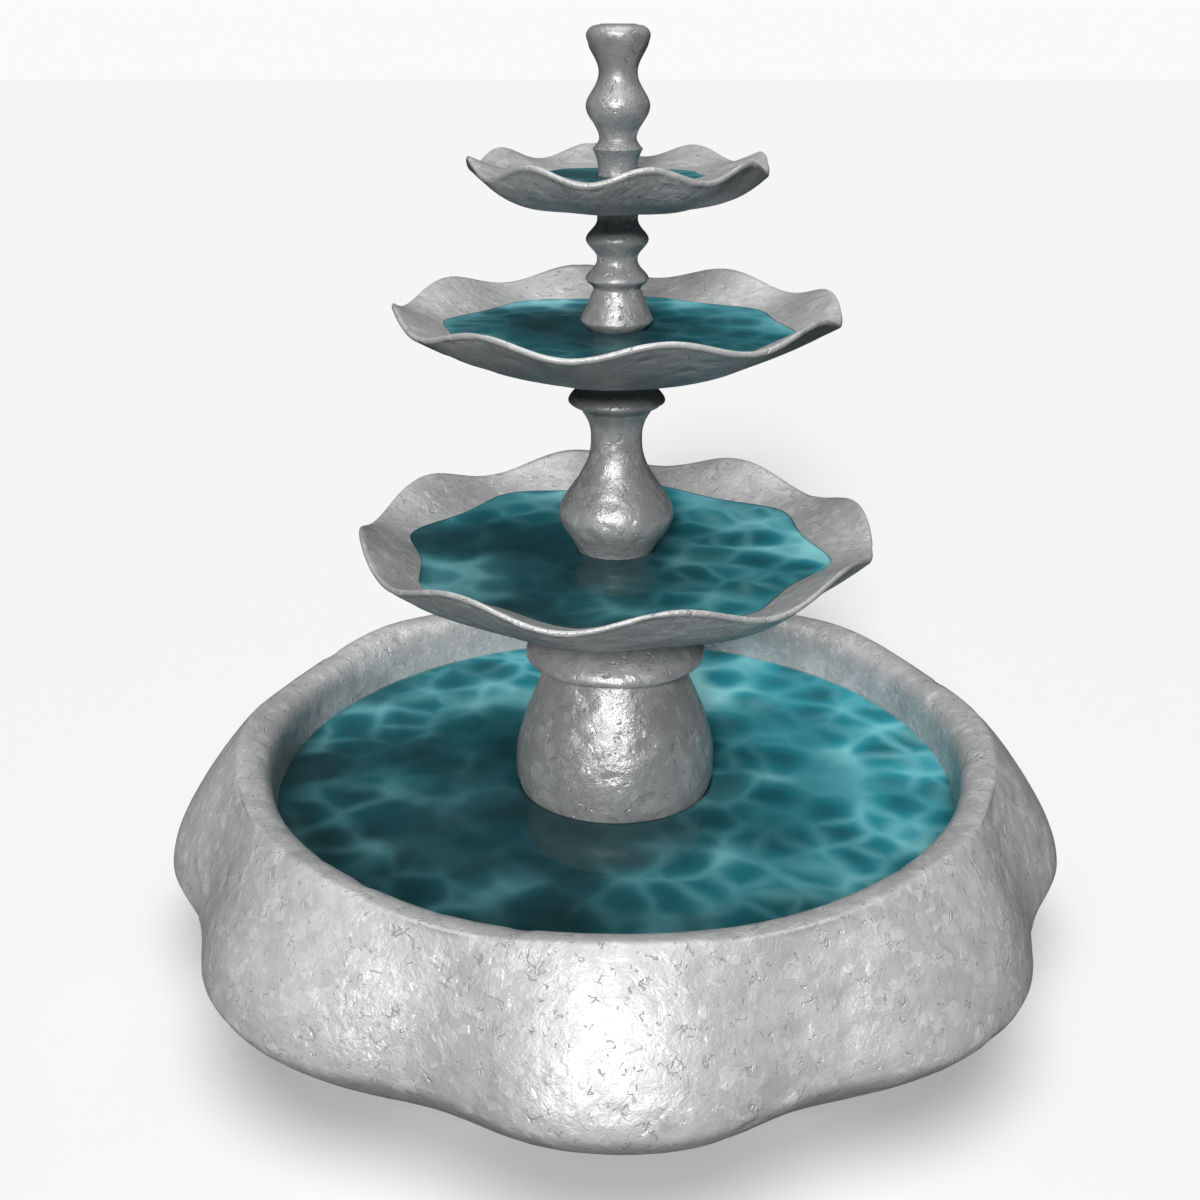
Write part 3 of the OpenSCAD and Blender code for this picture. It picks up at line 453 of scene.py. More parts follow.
# The same cast stone as STONE, painted darker and a little glossier: painted shade on the stems and the
# pedestal, which stand under the bowls.
SHADED_COLUMN_STONE = CastStone(
    "shaded column stone", dark=(0.17, 0.17, 0.17), middle=(0.235, 0.235, 0.235), light=(0.33, 0.33, 0.33),
    flake=(0.48, 0.48, 0.48), roughness=0.33,
)
BLACK_PLASTIC = Moulded("black plastic", (0.022, 0.022, 0.024), (0.040, 0.040, 0.043))
SHEATH = Moulded("lead sheath", (0.012, 0.012, 0.013), (0.024, 0.024, 0.025), 0.38, 1500.0, 0.02)
RUBBER = Moulded("black rubber", (0.018, 0.018, 0.018), (0.035, 0.035, 0.035), 0.72, 700.0, 0.08)
SEAL = Moulded("seal rubber", (0.045, 0.045, 0.048), (0.075, 0.075, 0.078), 0.65, 700.0, 0.06)
GREY_PLASTIC = Moulded("grey plastic", (0.24, 0.25, 0.27), (0.33, 0.34, 0.36), 0.42)
WHITE_PLASTIC = Moulded("white plastic", (0.68, 0.68, 0.66), (0.80, 0.80, 0.78), 0.36)
CERAMIC = Moulded("white ceramic", (0.78, 0.78, 0.76), (0.88, 0.88, 0.86), 0.22, 1800.0, 0.01)
FERRITE = Moulded("ferrite", (0.055, 0.055, 0.058), (0.10, 0.10, 0.105), 0.50, 1400.0, 0.04)
PLATED = Metal("plated steel", (0.58, 0.58, 0.57), (0.42, 0.42, 0.40), 0.28)
LAMINATION = Metal("lamination", (0.24, 0.25, 0.27), (0.15, 0.15, 0.16), 0.45, 12000.0, "X", 0.12)
COPPER = Metal("copper wire", (0.62, 0.27, 0.12), (0.42, 0.16, 0.07), 0.32, 9000.0, "X", 0.15)
BRASS = Metal("brass", (0.62, 0.44, 0.18), (0.42, 0.30, 0.12), 0.28, 5000.0)

SLOT_FINISH: dict[str, Finish] = {
    "cast_stone": STONE,
    "black_plastic": BLACK_PLASTIC,
    "lead_sheath": SHEATH,
    "black_rubber": RUBBER,
    "seal_rubber": SEAL,
    "plated_steel": PLATED,
    "lamination": LAMINATION,
    "copper_wire": COPPER,
    "white_ceramic": CERAMIC,
    "white_plastic": WHITE_PLASTIC,
    "ferrite": FERRITE,
    "grey_plastic": GREY_PLASTIC,
    "clear_tube": ClearTube(),
    "brass": BRASS,
}


# ---------- outlines ----------


class Way(Enum):
    """How a turned outline runs up to a knot."""

    LINE = "line"
    EASE = "ease"
    FLARE = "flare"
    ROUND = "round"


@dataclass(frozen=True)
class Ring:
    """One ring of a casting, in millimetres.

    Attributes:
        r: mean radius.
        z: mean height.
        sway: how far the lobes move it outwards.
        lift: how far the lobes raise it.
        rough: share of the stone's relief that it gets.
    """

    r: float
    z: float
    sway: float = 0.0
    lift: float = 0.0
    rough: float = 0.0


@dataclass(frozen=True)
class Knot:
    """A knot of a turned outline: radius in millimetres, share of the height, and the way there."""

    r: float
    at: float
    way: Way = Way.LINE
    power: float = 1.0


def blend(a: float, b: float, t: float) -> float:
    """Returns the value t of the way from a to b."""
    return a + (b - a) * t


def bezier(points: Sequence[tuple[float, float]], t: float) -> tuple[float, float]:
    """Returns the point at t on a cubic curve with four control points."""
    weights = ((1 - t) ** 3, 3 * t * (1 - t) ** 2, 3 * t * t * (1 - t), t**3)
    return tuple(sum(w * p[k] for w, p in zip(weights, points)) for k in (0, 1))


def share(knot: Knot, u: float, grows: bool) -> float:
    """Share of the way to a knot's radius at u of the way up.

    Args:
        knot: the knot that the outline runs to.
        u: share of the height between the two knots.
        grows: whether the outline gets wider.

    Returns:
        A share from 0 to 1.
    """
    if knot.way is Way.LINE:
        return u
    if knot.way is Way.ROUND:
        return 1 - math.sqrt(max(0.0, 1 - u * u))
    if knot.way is Way.FLARE:
        return u**knot.power if grows else 1 - (1 - u) ** knot.power
    return (1 - math.cos(math.pi * (1 - (1 - u) ** knot.power))) / 2


def turned(knots: Sequence[Knot], low: float, high: float, step: float) -> list[Ring]:
    """Outline of a turned piece.

    Args:
        knots: the outline's knots, from the bottom up.
        low: height of the first knot, in millimetres.
        high: height at share 1.
        step: greatest gap between two rings.

    Returns:
        The outline's rings, from the bottom up.
    """
    rings = [Ring(knots[0].r, low + knots[0].at * (high - low), rough=1)]
    for a, b in zip(knots, knots[1:]):
        rise = abs(b.at - a.at) * (high - low)
        count = max(1, math.ceil(1.25 * math.hypot(rise, b.r - a.r) / step))
        for i in range(1, count + 1):
            u = i / count
            r = blend(a.r, b.r, share(b, u, b.r > a.r))
            rings.append(Ring(r, low + blend(a.at, b.at, u) * (high - low), rough=1))
    return rings


def polyline(points: Sequence[tuple[float, float]], step: float, rough: float = 0.0) -> list[Ring]:
    """Straight runs between points, cut into steps."""
    rings = [Ring(*points[0], rough=rough)]
    for a, b in zip(points, points[1:]):
        count = max(1, math.ceil(math.dist(a, b) / step))
        for i in range(1, count + 1):
            rings.append(Ring(blend(a[0], b[0], i / count), blend(a[1], b[1], i / count), rough=rough))
    return rings


def eased(rings: Sequence[Ring], radius: float) -> list[Ring]:
    """Rounds the corners of an outline, as a mould and a little wear do.

    Args:
        rings: the outline.
        radius: setback of each corner, in millimetres.

    Returns:
        The outline with three rings in place of each corner's one.
    """
    out = [rings[0]]
    for before, ring, after in zip(rings, rings[1:], rings[2:]):
        into = Vector((ring.r - before.r, ring.z - before.z))
        away = Vector((after.r - ring.r, after.z - ring.z))
        if min(into.length, away.length) < 1e-6:
            continue
        if ring.rough <= 0 or into.angle(away) < math.radians(24):
            out.append(ring)
            continue
        back = min(radius, 0.45 * into.length, 0.45 * away.length)
        at = Vector((ring.r, ring.z))
        start, end = at - into.normalized() * back, at + away.normalized() * back
        top = (start + 2 * at + end) / 4
        for p in (start, top, end):
            out.append(Ring(p.x, p.y, ring.sway, ring.lift, ring.rough))
    out.append(rings[-1])
    return out


# ---------- the casting tree ----------


def open_tree(
    name: str, geometry: str, sizes: Sequence[tuple[str, str, object]]
) -> tuple[bpy.types.NodeTree, dict[str, str]]:
    """Makes an empty Geometry Nodes tree with its inputs and its output.

    Args:
        name: the tree's name.
        geometry: the name of its geometry input.
        sizes: name, socket type and default of every other input.

    Returns:
        The tree, and each input's name to its identifier.
    """
    group = bpy.data.node_groups.new(name, "GeometryNodeTree")
    group.interface.new_socket(geometry, in_out="INPUT", socket_type="NodeSocketGeometry")
    ids = {}
    for word, kind, value in sizes:
        socket = group.interface.new_socket(word, in_out="INPUT", socket_type=kind)
        socket.default_value = value
        ids[word] = socket.identifier
    finish = group.interface.new_socket("Finish", in_out="INPUT", socket_type="NodeSocketMaterial")
    ids["Finish"] = finish.identifier
    group.interface.new_socket("Result", in_out="OUTPUT", socket_type="NodeSocketGeometry")
    return group, ids


def close_tree(sheet: Sheet, shape: Socket, finish: Socket) -> None:
    """Ends a tree: real geometry, with its finish, into the output."""
    real = sheet.add("GeometryNodeRealizeInstances", {"Geometry": shape}).outputs[0]
    done = sheet.add("GeometryNodeSetMaterial", {"Geometry": real, "Material": finish}).outputs[0]
    sheet.add("NodeGroupOutput", {0: done})


class CastingTree:
    """Geometry Nodes that turn an outline into a lobed casting with a stone skin."""

    SIZES = (
        ("Segments", "NodeSocketInt", 64),
        ("Lobes", "NodeSocketInt", 8),
        ("Lobe phase", "NodeSocketFloat", 0.0),
        ("Lobe flatness", "NodeSocketFloat", 0.15),
        ("Wander depth", "NodeSocketFloat", 0.0005),
        ("Wander pitch", "NodeSocketFloat", 45.0),
        ("Chip depth", "NodeSocketFloat", 0.0005),
        ("Chip pitch", "NodeSocketFloat", 90.0),
        ("Chip share", "NodeSocketFloat", 0.35),
        ("Seed", "NodeSocketFloat", 1.0),
    )

    def __init__(self) -> None:
        """Builds the tree."""
        self.group, self.ids = open_tree("turned casting", "Outline", self.SIZES)
        self.sheet = Sheet(self.group)
        self.given = self.sheet.add("NodeGroupInput").outputs
        self.build()

    def build(self) -> None:
        """Joins the revolve, the skin and the finish."""
        sheet, given = self.sheet, self.given
        shape = self.revolve()
        shape = sheet.add("GeometryNodeSetPosition", {"Geometry": shape, "Offset": self.skin()}).outputs[0]
        shape = sheet.add("GeometryNodeSetShadeSmooth", {"Geometry": shape, "Shade Smooth": True}).outputs[0]
        close_tree(sheet, shape, given["Finish"])

    def revolve(self) -> Socket:
        """Sweeps the outline round the axis, swaying and lifting it with the lobes.

        Returns:
            The closed mesh, with the outline's rough share on its points.
        """
        sheet, given = self.sheet, self.given
        outline = given["Outline"]
        size = sheet.add("GeometryNodeAttributeDomainSize", {0: outline}, component="MESH")
        rings = size.outputs["Point Count"]
        columns = sheet.math("ADD", given["Segments"], 1.0)
        grid = sheet.add("GeometryNodeMeshGrid", {"Vertices X": columns, "Vertices Y": rings}).outputs["Mesh"]
        index = sheet.add("GeometryNodeInputIndex").outputs[0]
        row = sheet.math("MODULO", index, rings)
        column = sheet.math("FLOOR", sheet.math("DIVIDE", sheet.math("ADD", index, 0.5), rings))
        angle = sheet.math("MULTIPLY", sheet.math("DIVIDE", column, given["Segments"]), TURN)
        place = self.sample(outline, sheet.add("GeometryNodeInputPosition").outputs[0], row, "FLOAT_VECTOR")
        parts = sheet.add("ShaderNodeSeparateXYZ", {0: place})
        sway, lift, rough = (
            self.sample(outline, self.read(name), row, "FLOAT") for name in ("sway", "lift", "rough")
        )
        past_lobe = sheet.math("SUBTRACT", angle, given["Lobe phase"])
        round_angle = sheet.math("MULTIPLY", past_lobe, given["Lobes"])
        wave = sheet.math("COSINE", round_angle)
        flatter = sheet.math("COSINE", sheet.math("MULTIPLY", round_angle, 2.0))
        shaped = sheet.math("SUBTRACT", wave, sheet.math("MULTIPLY", flatter, given["Lobe flatness"]))
        radius = sheet.math("MULTIPLY_ADD", sway, shaped, parts.outputs[0])
        height = sheet.math("MULTIPLY_ADD", lift, wave, parts.outputs[2])
        x = sheet.math("MULTIPLY", radius, sheet.math("SINE", angle))
        y = sheet.math("MULTIPLY", radius, sheet.math("MULTIPLY", sheet.math("COSINE", angle), -1.0))
        where = sheet.add("ShaderNodeCombineXYZ", {0: x, 1: y, 2: height}).outputs[0]
        feeds = {"Geometry": grid, "Name": "rough", "Value": rough}
        kept = sheet.add("GeometryNodeStoreNamedAttribute", feeds).outputs[0]
        placed = sheet.add("GeometryNodeSetPosition", {"Geometry": kept, "Position": where}).outputs[0]
        return sheet.add("GeometryNodeMergeByDistance", {"Geometry": placed, "Distance": 2e-6}).outputs[0]

    def read(self, name: str) -> Socket:
        """Reads a named number from the outline's points."""
        return self.sheet.add("GeometryNodeInputNamedAttribute", {"Name": name}, data_type="FLOAT").outputs[0]

    def sample(self, geometry: Socket, value: Socket, row: Socket, kind: str) -> Socket:
        """Reads a value at one of the outline's points."""
        feeds = {"Geometry": geometry, "Value": value, "Index": row}
        return self.sheet.add("GeometryNodeSampleIndex", feeds, data_type=kind, domain="POINT").outputs[0]

    def skin(self) -> Socket:
        """Sinks the skin in slow waves and in scattered chips, always inwards.

        Returns:
            The offset of each point.
        """
        sheet, given = self.sheet, self.given
        at = sheet.add("GeometryNodeInputPosition").outputs[0]
        seed = given["Seed"]
        shift = sheet.add("ShaderNodeCombineXYZ", {0: seed, 1: seed, 2: seed}).outputs[0]
        here = sheet.vector("ADD", at, shift)
        wander = sheet.noise(here, given["Wander pitch"], 3.0, 0.5, 0.3)
        feeds = {"Vector": here, "Scale": given["Chip pitch"], "Randomness": 1.0}
        drift = sheet.add("ShaderNodeTexNoise", {"Vector": here, "Scale": given["Chip pitch"], "Detail": 2.0})
        bent = sheet.vector("ADD", here, sheet.vector("SCALE", drift.outputs["Color"], scale=0.008))
        feeds["Vector"] = sheet.vector("MULTIPLY", bent, (1.0, 1.0, 1.5))
        cells = sheet.add("ShaderNodeTexVoronoi", feeds)
        draw = sheet.add("ShaderNodeSeparateXYZ", {0: cells.outputs["Color"]}).outputs[0]
        chosen = sheet.math("LESS_THAN", draw, given["Chip share"])
        hollow = sheet.smooth(cells.outputs["Distance"], 0.12, 0.48, 1.0, 0.0)
        chips = sheet.math("MULTIPLY", sheet.math("MULTIPLY", chosen, hollow), given["Chip depth"])
        depth = sheet.math("MULTIPLY_ADD", wander, given["Wander depth"], chips)
        depth = sheet.math("MULTIPLY", depth, self.read("rough"))
        normal = sheet.add("GeometryNodeInputNormal").outputs[0]
        return sheet.vector("SCALE", normal, scale=sheet.math("MULTIPLY", depth, -1.0))


class PatternTree:
    """Geometry Nodes that set copies of one part round a ring, or in a grid."""

    SIZES = (
        ("Round", "NodeSocketBool", True),
        ("Count", "NodeSocketInt", 6),
        ("Ring radius", "NodeSocketFloat", 0.1),
        ("First angle", "NodeSocketFloat", 0.0),
        ("Columns", "NodeSocketInt", 2),
        ("Rows", "NodeSocketInt", 2),
        ("Width", "NodeSocketFloat", 0.015),
        ("Depth", "NodeSocketFloat", 0.018),
        ("Centre", "NodeSocketVector", (0.0, 0.0, 0.0)),
    )

    def __init__(self) -> None:
        """Builds the tree."""
        self.group, self.ids = open_tree("pattern of parts", "Item", self.SIZES)
        sheet = Sheet(self.group)
        given = sheet.add("NodeGroupInput").outputs
        feeds = {"Vertices": given["Count"], "Radius": given["Ring radius"]}
        ring = sheet.add("GeometryNodeMeshCircle", feeds).outputs[0]
        feeds = {
            "Size X": given["Width"], "Size Y": given["Depth"],
            "Vertices X": given["Columns"], "Vertices Y": given["Rows"],
        }
        grid = sheet.add("GeometryNodeMeshGrid", feeds).outputs["Mesh"]
        feeds = {"Switch": given["Round"], "False": grid, "True": ring}
        places = sheet.add("GeometryNodeSwitch", feeds, input_type="GEOMETRY").outputs[0]
        step = sheet.math("DIVIDE", TURN, given["Count"])
        index = sheet.add("GeometryNodeInputIndex").outputs[0]
        angle = sheet.math("MULTIPLY", sheet.math("MULTIPLY", index, step), given["Round"])
        feeds = {"Points": places, "Instance": given["Item"], "Rotation": self.about_z(sheet, angle)}
        copies = sheet.add("GeometryNodeInstanceOnPoints", feeds).outputs[0]
        first = self.about_z(sheet, given["First angle"])
        feeds = {"Geometry": copies, "Translation": given["Centre"], "Rotation": first}
        copies = sheet.add("GeometryNodeTransform", feeds).outputs[0]
        close_tree(sheet, copies, given["Finish"])

    @staticmethod
    def about_z(sheet: Sheet, angle: Socket) -> Socket:
        """Makes a turn about Z."""
        turn = sheet.add("ShaderNodeCombineXYZ", {2: angle}).outputs[0]
        return sheet.add("FunctionNodeEulerToRotation", {0: turn}).outputs[0]


class SweepTree:
    """Geometry Nodes that sweep a round section along a path."""

    SIZES = (
        ("Radius", "NodeSocketFloat", 0.0019),
        ("Sides", "NodeSocketInt", 20),
    )

    def __init__(self) -> None:
        """Builds the tree."""
        self.group, self.ids = open_tree("swept lead", "Path", self.SIZES)
        sheet = Sheet(self.group)
        given = sheet.add("NodeGroupInput").outputs
        path = sheet.add("GeometryNodeMeshToCurve", {0: given["Path"]}).outputs[0]
        feeds = {"Resolution": given["Sides"], "Radius": given["Radius"]}
        section = sheet.add("GeometryNodeCurvePrimitiveCircle", feeds).outputs[0]
        feeds = {"Curve": path, "Profile Curve": section, "Fill Caps": True}
        tube = sheet.add("GeometryNodeCurveToMesh", feeds).outputs[0]
        tube = sheet.add("GeometryNodeSetShadeSmooth", {"Geometry": tube, "Shade Smooth": True}).outputs[0]
        close_tree(sheet, tube, given["Finish"])


@dataclass
class Relief:
    """How deep a casting's skin is marked: depths in millimetres, pitches per metre."""

    wander_mm: float = 0.7
    wander_pitch: float = 42.0
    chip_mm: float = 0.45
    chip_pitch: float = 85.0
    chip_share: float = 0.30
    seed: float = 1.0


class Workshop:
    """Makes meshes and hands finished pieces to the frame."""

    def __init__(self) -> None:
        """Builds the shared trees."""
        self.casting_tree = CastingTree()
        self.pattern_tree = PatternTree()
        self.sweep_tree = SweepTree()
        self.pieces: list[bpy.types.Object] = []

    def casting(
        self, name: str, rings: Sequence[Ring], segments: int, relief: Relief,
        lobes: int = 8, phase: float = 0.0, finish: Finish | None = None,
    ) -> bpy.types.Object:
        """Makes a casting from its outline through the casting tree.

        Args:
            name: the piece's name.
            rings: a closed outline: it starts and ends on the axis, or at the same ring.
            segments: columns around the axis.
            relief: depth of the skin's marks.
            lobes: lobes around the axis.
            phase: angle of the first lobe, in radians.
            finish: its finish, or None for rough cast stone.

        Returns:
            The finished object, with a plain mesh.
        """
        outline = bpy.data.meshes.new(name + " outline")
        points = [(ring.r * MM, 0.0, ring.z * MM) for ring in rings]
        outline.from_pydata(points, [(i, i + 1) for i in range(len(points) - 1)], [])
        for word in ("sway", "lift", "rough"):
            values = outline.attributes.new(word, "FLOAT", "POINT").data
            scale = 1.0 if word == "rough" else MM
            values.foreach_set("value", [getattr(ring, word) * scale for ring in rings])
        source = bpy.data.objects.new(name + " outline", outline)
        bpy.context.scene.collection.objects.link(source)
        modifier = source.modifiers.new("casting", "NODES")
        modifier.node_group = self.casting_tree.group
        sizes = {
            "Segments": segments,
            "Lobes": lobes,
            "Lobe phase": phase,
            "Wander depth": relief.wander_mm * MM,
            "Wander pitch": relief.wander_pitch,
            "Chip depth": relief.chip_mm * MM,
            "Chip pitch": relief.chip_pitch,
            "Chip share": relief.chip_share,
            "Seed": relief.seed,
            "Finish": (finish or STONE).material(),
        }
        for word, value in sizes.items():
            modifier[self.casting_tree.ids[word]] = value
        piece = self.settle(source, name)
        self.face_outwards(piece.data)
        self.dress(piece.data, finish or STONE)
        return piece

    @staticmethod
    def dress(mesh: bpy.types.Mesh, finish: Finish) -> None:
        """Gives a whole mesh one finish."""
        mesh.materials.clear()
        mesh.materials.append(finish.material())
        mesh.polygons.foreach_set("material_index", [0] * len(mesh.polygons))

    def settle(self, source: bpy.types.Object, name: str) -> bpy.types.Object:
        """Turns an object with its modifiers into a plain piece and removes the object."""
        bpy.context.view_layer.update()
        graph = bpy.context.evaluated_depsgraph_get()
        mesh = bpy.data.meshes.new_from_object(source.evaluated_get(graph), depsgraph=graph)
        mesh.name = name
        old = source.data
        bpy.data.objects.remove(source)
        if isinstance(old, bpy.types.Mesh) and old.users == 0:
            bpy.data.meshes.remove(old)
        piece = bpy.data.objects.new(name, mesh)
        bpy.context.scene.collection.objects.link(piece)
        return piece

    @staticmethod
    def face_outwards(mesh: bpy.types.Mesh) -> None:
        """Turns a closed mesh's faces outwards."""
        work = bmesh.new()
        work.from_mesh(mesh)
        if work.calc_volume(signed=True) < 0:
            bmesh.ops.reverse_faces(work, faces=work.faces)
        work.to_mesh(mesh)
        work.free()

    def cut(
        self, piece: bpy.types.Object, cutters: Iterable[bmesh.types.BMesh], finish: Finish | None = None
    ) -> bpy.types.Object:
        """Cuts closed meshes out of a piece.

        Args:
            piece: the piece to cut.
            cutters: closed meshes in metres; they are used up.
            finish: the piece's finish, or None for rough cast stone.

        Returns:
            The cut piece, under the same name.
        """
        name = piece.name
        for index, work in enumerate(cutters):
            mesh = bpy.data.meshes.new(f"{name} cutter {index}")
            bmesh.ops.recalc_face_normals(work, faces=work.faces)
            work.to_mesh(mesh)
            work.free()
            tool = bpy.data.objects.new(mesh.name, mesh)
            bpy.context.scene.collection.objects.link(tool)
            modifier = piece.modifiers.new("cut", "BOOLEAN")
            modifier.operation, modifier.object, modifier.solver = "DIFFERENCE", tool, "MANIFOLD"
            piece.name = name + " uncut"
            piece = self.settle(piece, name)
            bpy.data.objects.remove(tool)
            bpy.data.meshes.remove(mesh)
        self.dress(piece.data, finish or STONE)
        return piece

    def run(
        self, source: bpy.types.Object, tree: PatternTree | SweepTree, name: str, finish: Finish,
        sizes: dict[str, object],
    ) -> bpy.types.Object:
        """Sends an object through a tree and returns the finished piece.

        Args:
            source: the object whose mesh goes in; it is used up.
            tree: the tree.
            name: the piece's name.
            finish: the piece's finish.
            sizes: the tree's input names to their values.

        Returns:
            The finished object, with a plain mesh.
        """
        modifier = source.modifiers.new(name, "NODES")
        modifier.node_group = tree.group
        for word, value in {**sizes, "Finish": finish.material()}.items():
            modifier[tree.ids[word]] = value
        source.name = name + " source"
        piece = self.settle(source, name)
        self.face_outwards(piece.data)
        self.dress(piece.data, finish)
        return piece

    def hand_over(self, piece: bpy.types.Object, body: str, slot: str, *nodes: str) -> None:
        """Rides a finished piece on its body and hides the nodes it stands for."""
        if nodes:
            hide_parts(*nodes)
        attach(piece, body)
        self.pieces.append(piece)
        log.info("%s: %d faces on %s", piece.name, len(piece.data.polygons), body)


def rod(radius: float, length: float, place: Matrix, sides: int = 48) -> bmesh.types.BMesh:
    """A closed cylinder in metres, centred on the Z axis of place."""
    work = bmesh.new()
    bmesh.ops.create_cone(
        work, cap_ends=True, segments=sides, radius1=radius, radius2=radius, depth=length, matrix=place
    )
    return work


def heights(node: str) -> tuple[float, float]:
    """Lowest and highest height of a CAD node, in millimetres."""
    low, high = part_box(node)
    return low[2] / MM, high[2] / MM


# ---------- water ----------


class Part(Enum):
    """The faces of a water body, by material index."""

    TOP = 0
    BED = 1
    SIDE = 2


@dataclass
class Water:
    """One body of water, closed all round.

    Attributes:
        name: the piece's name.
        level: height of its surface, in millimetres.
        bed: from an angle to the bed's points (r, z), from the shore in to the stem's foot.
        stem: the stem's points (r, z) in the water, from the foot up to the surface.
        columns: columns around the axis.
    """

    name: str
    level: float
    bed: Callable[[float], list[tuple[float, float]]]
    stem: list[tuple[float, float]]
    columns: int = 320
    top_rows: int = 40
    top: WaterTop = field(default_factory=WaterTop)
    ripple_mm: float = 0.10

    def section(self, angle: float) -> list[tuple[float, float, Part]]:
        """The closed outline at one angle: the surface outwards, the bed inwards, the stem upwards."""
        bed = self.bed(angle)
        inner, shore = self.stem[-1][0], bed[0][0]
        rows: list[tuple[float, float, Part]] = []
        for i in range(self.top_rows):
            t = i / self.top_rows
            r = blend(inner, shore, t)
            fade = min(1.0, 6 * t, 6 * (1 - t))
            wave = math.sin(0.23 * r + 2.1 * math.sin(2 * angle)) + math.sin(0.31 * r * math.sin(angle + 0.7))
            rows.append((r, self.level + fade * self.ripple_mm * wave / 2, Part.TOP))
        rows += [(r, z, Part.BED) for r, z in bed]
        rows += [(r, z, Part.SIDE) for r, z in self.stem[:-1]]
        return rows

    def build(self) -> bpy.types.Object:
        """Makes the water's mesh with its three finishes."""
        work = bmesh.new()
        columns: list[list[bmesh.types.BMVert]] = []
        kinds: list[Part] = []
        for j in range(self.columns):
            angle = TURN * j / self.columns
            rows = self.section(angle)
            kinds = [part for _, _, part in rows]
            east, south = MM * math.sin(angle), -MM * math.cos(angle)
            columns.append([work.verts.new((r * east, r * south, z * MM)) for r, z, _ in rows])
        count = len(kinds)
        for j, here in enumerate(columns):
            there = columns[(j + 1) % self.columns]
            for i in range(count):
                k = (i + 1) % count
                face = work.faces.new((here[i], there[i], there[k], here[k]))
                face.smooth = True
                face.material_index = kinds[i].value
        if work.calc_volume(signed=True) < 0:
            bmesh.ops.reverse_faces(work, faces=work.faces)
        mesh = bpy.data.meshes.new(self.name)
        work.to_mesh(mesh)
        work.free()
        for finish in (self.top, WaterBed(), WaterSide()):
            mesh.materials.append(finish.material())
        piece = bpy.data.objects.new(self.name, mesh)
        bpy.context.scene.collection.objects.link(piece)
        return piece


def wetted(rings: Sequence[Ring], low: float, level: float, gap: float = 0.35) -> list[tuple[float, float]]:
    """The part of a turned outline that stands in water, a hair outside the stone.

    Args:
        rings: the stem's outline, from the bottom up.
        low: height of the bed at the stem.
        level: height of the water.
        gap: gap between the water and the stone.

    Returns:
        Points (r, z) from the bed up to the surface.
    """
    inside = [ring for ring in rings if low < ring.z < level]
    above = next(ring for ring in rings if ring.z >= level)
    below = inside[-1]
    t = (level - below.z) / (above.z - below.z)
    points = [(inside[0].r + gap, low)]
    points += [(ring.r + gap, ring.z) for ring in inside if ring.z > low + 0.3 and ring.z < level - 0.3]
    points.append((blend(below.r, above.r, t) + gap, level))
    return points


# ---------- castings ----------


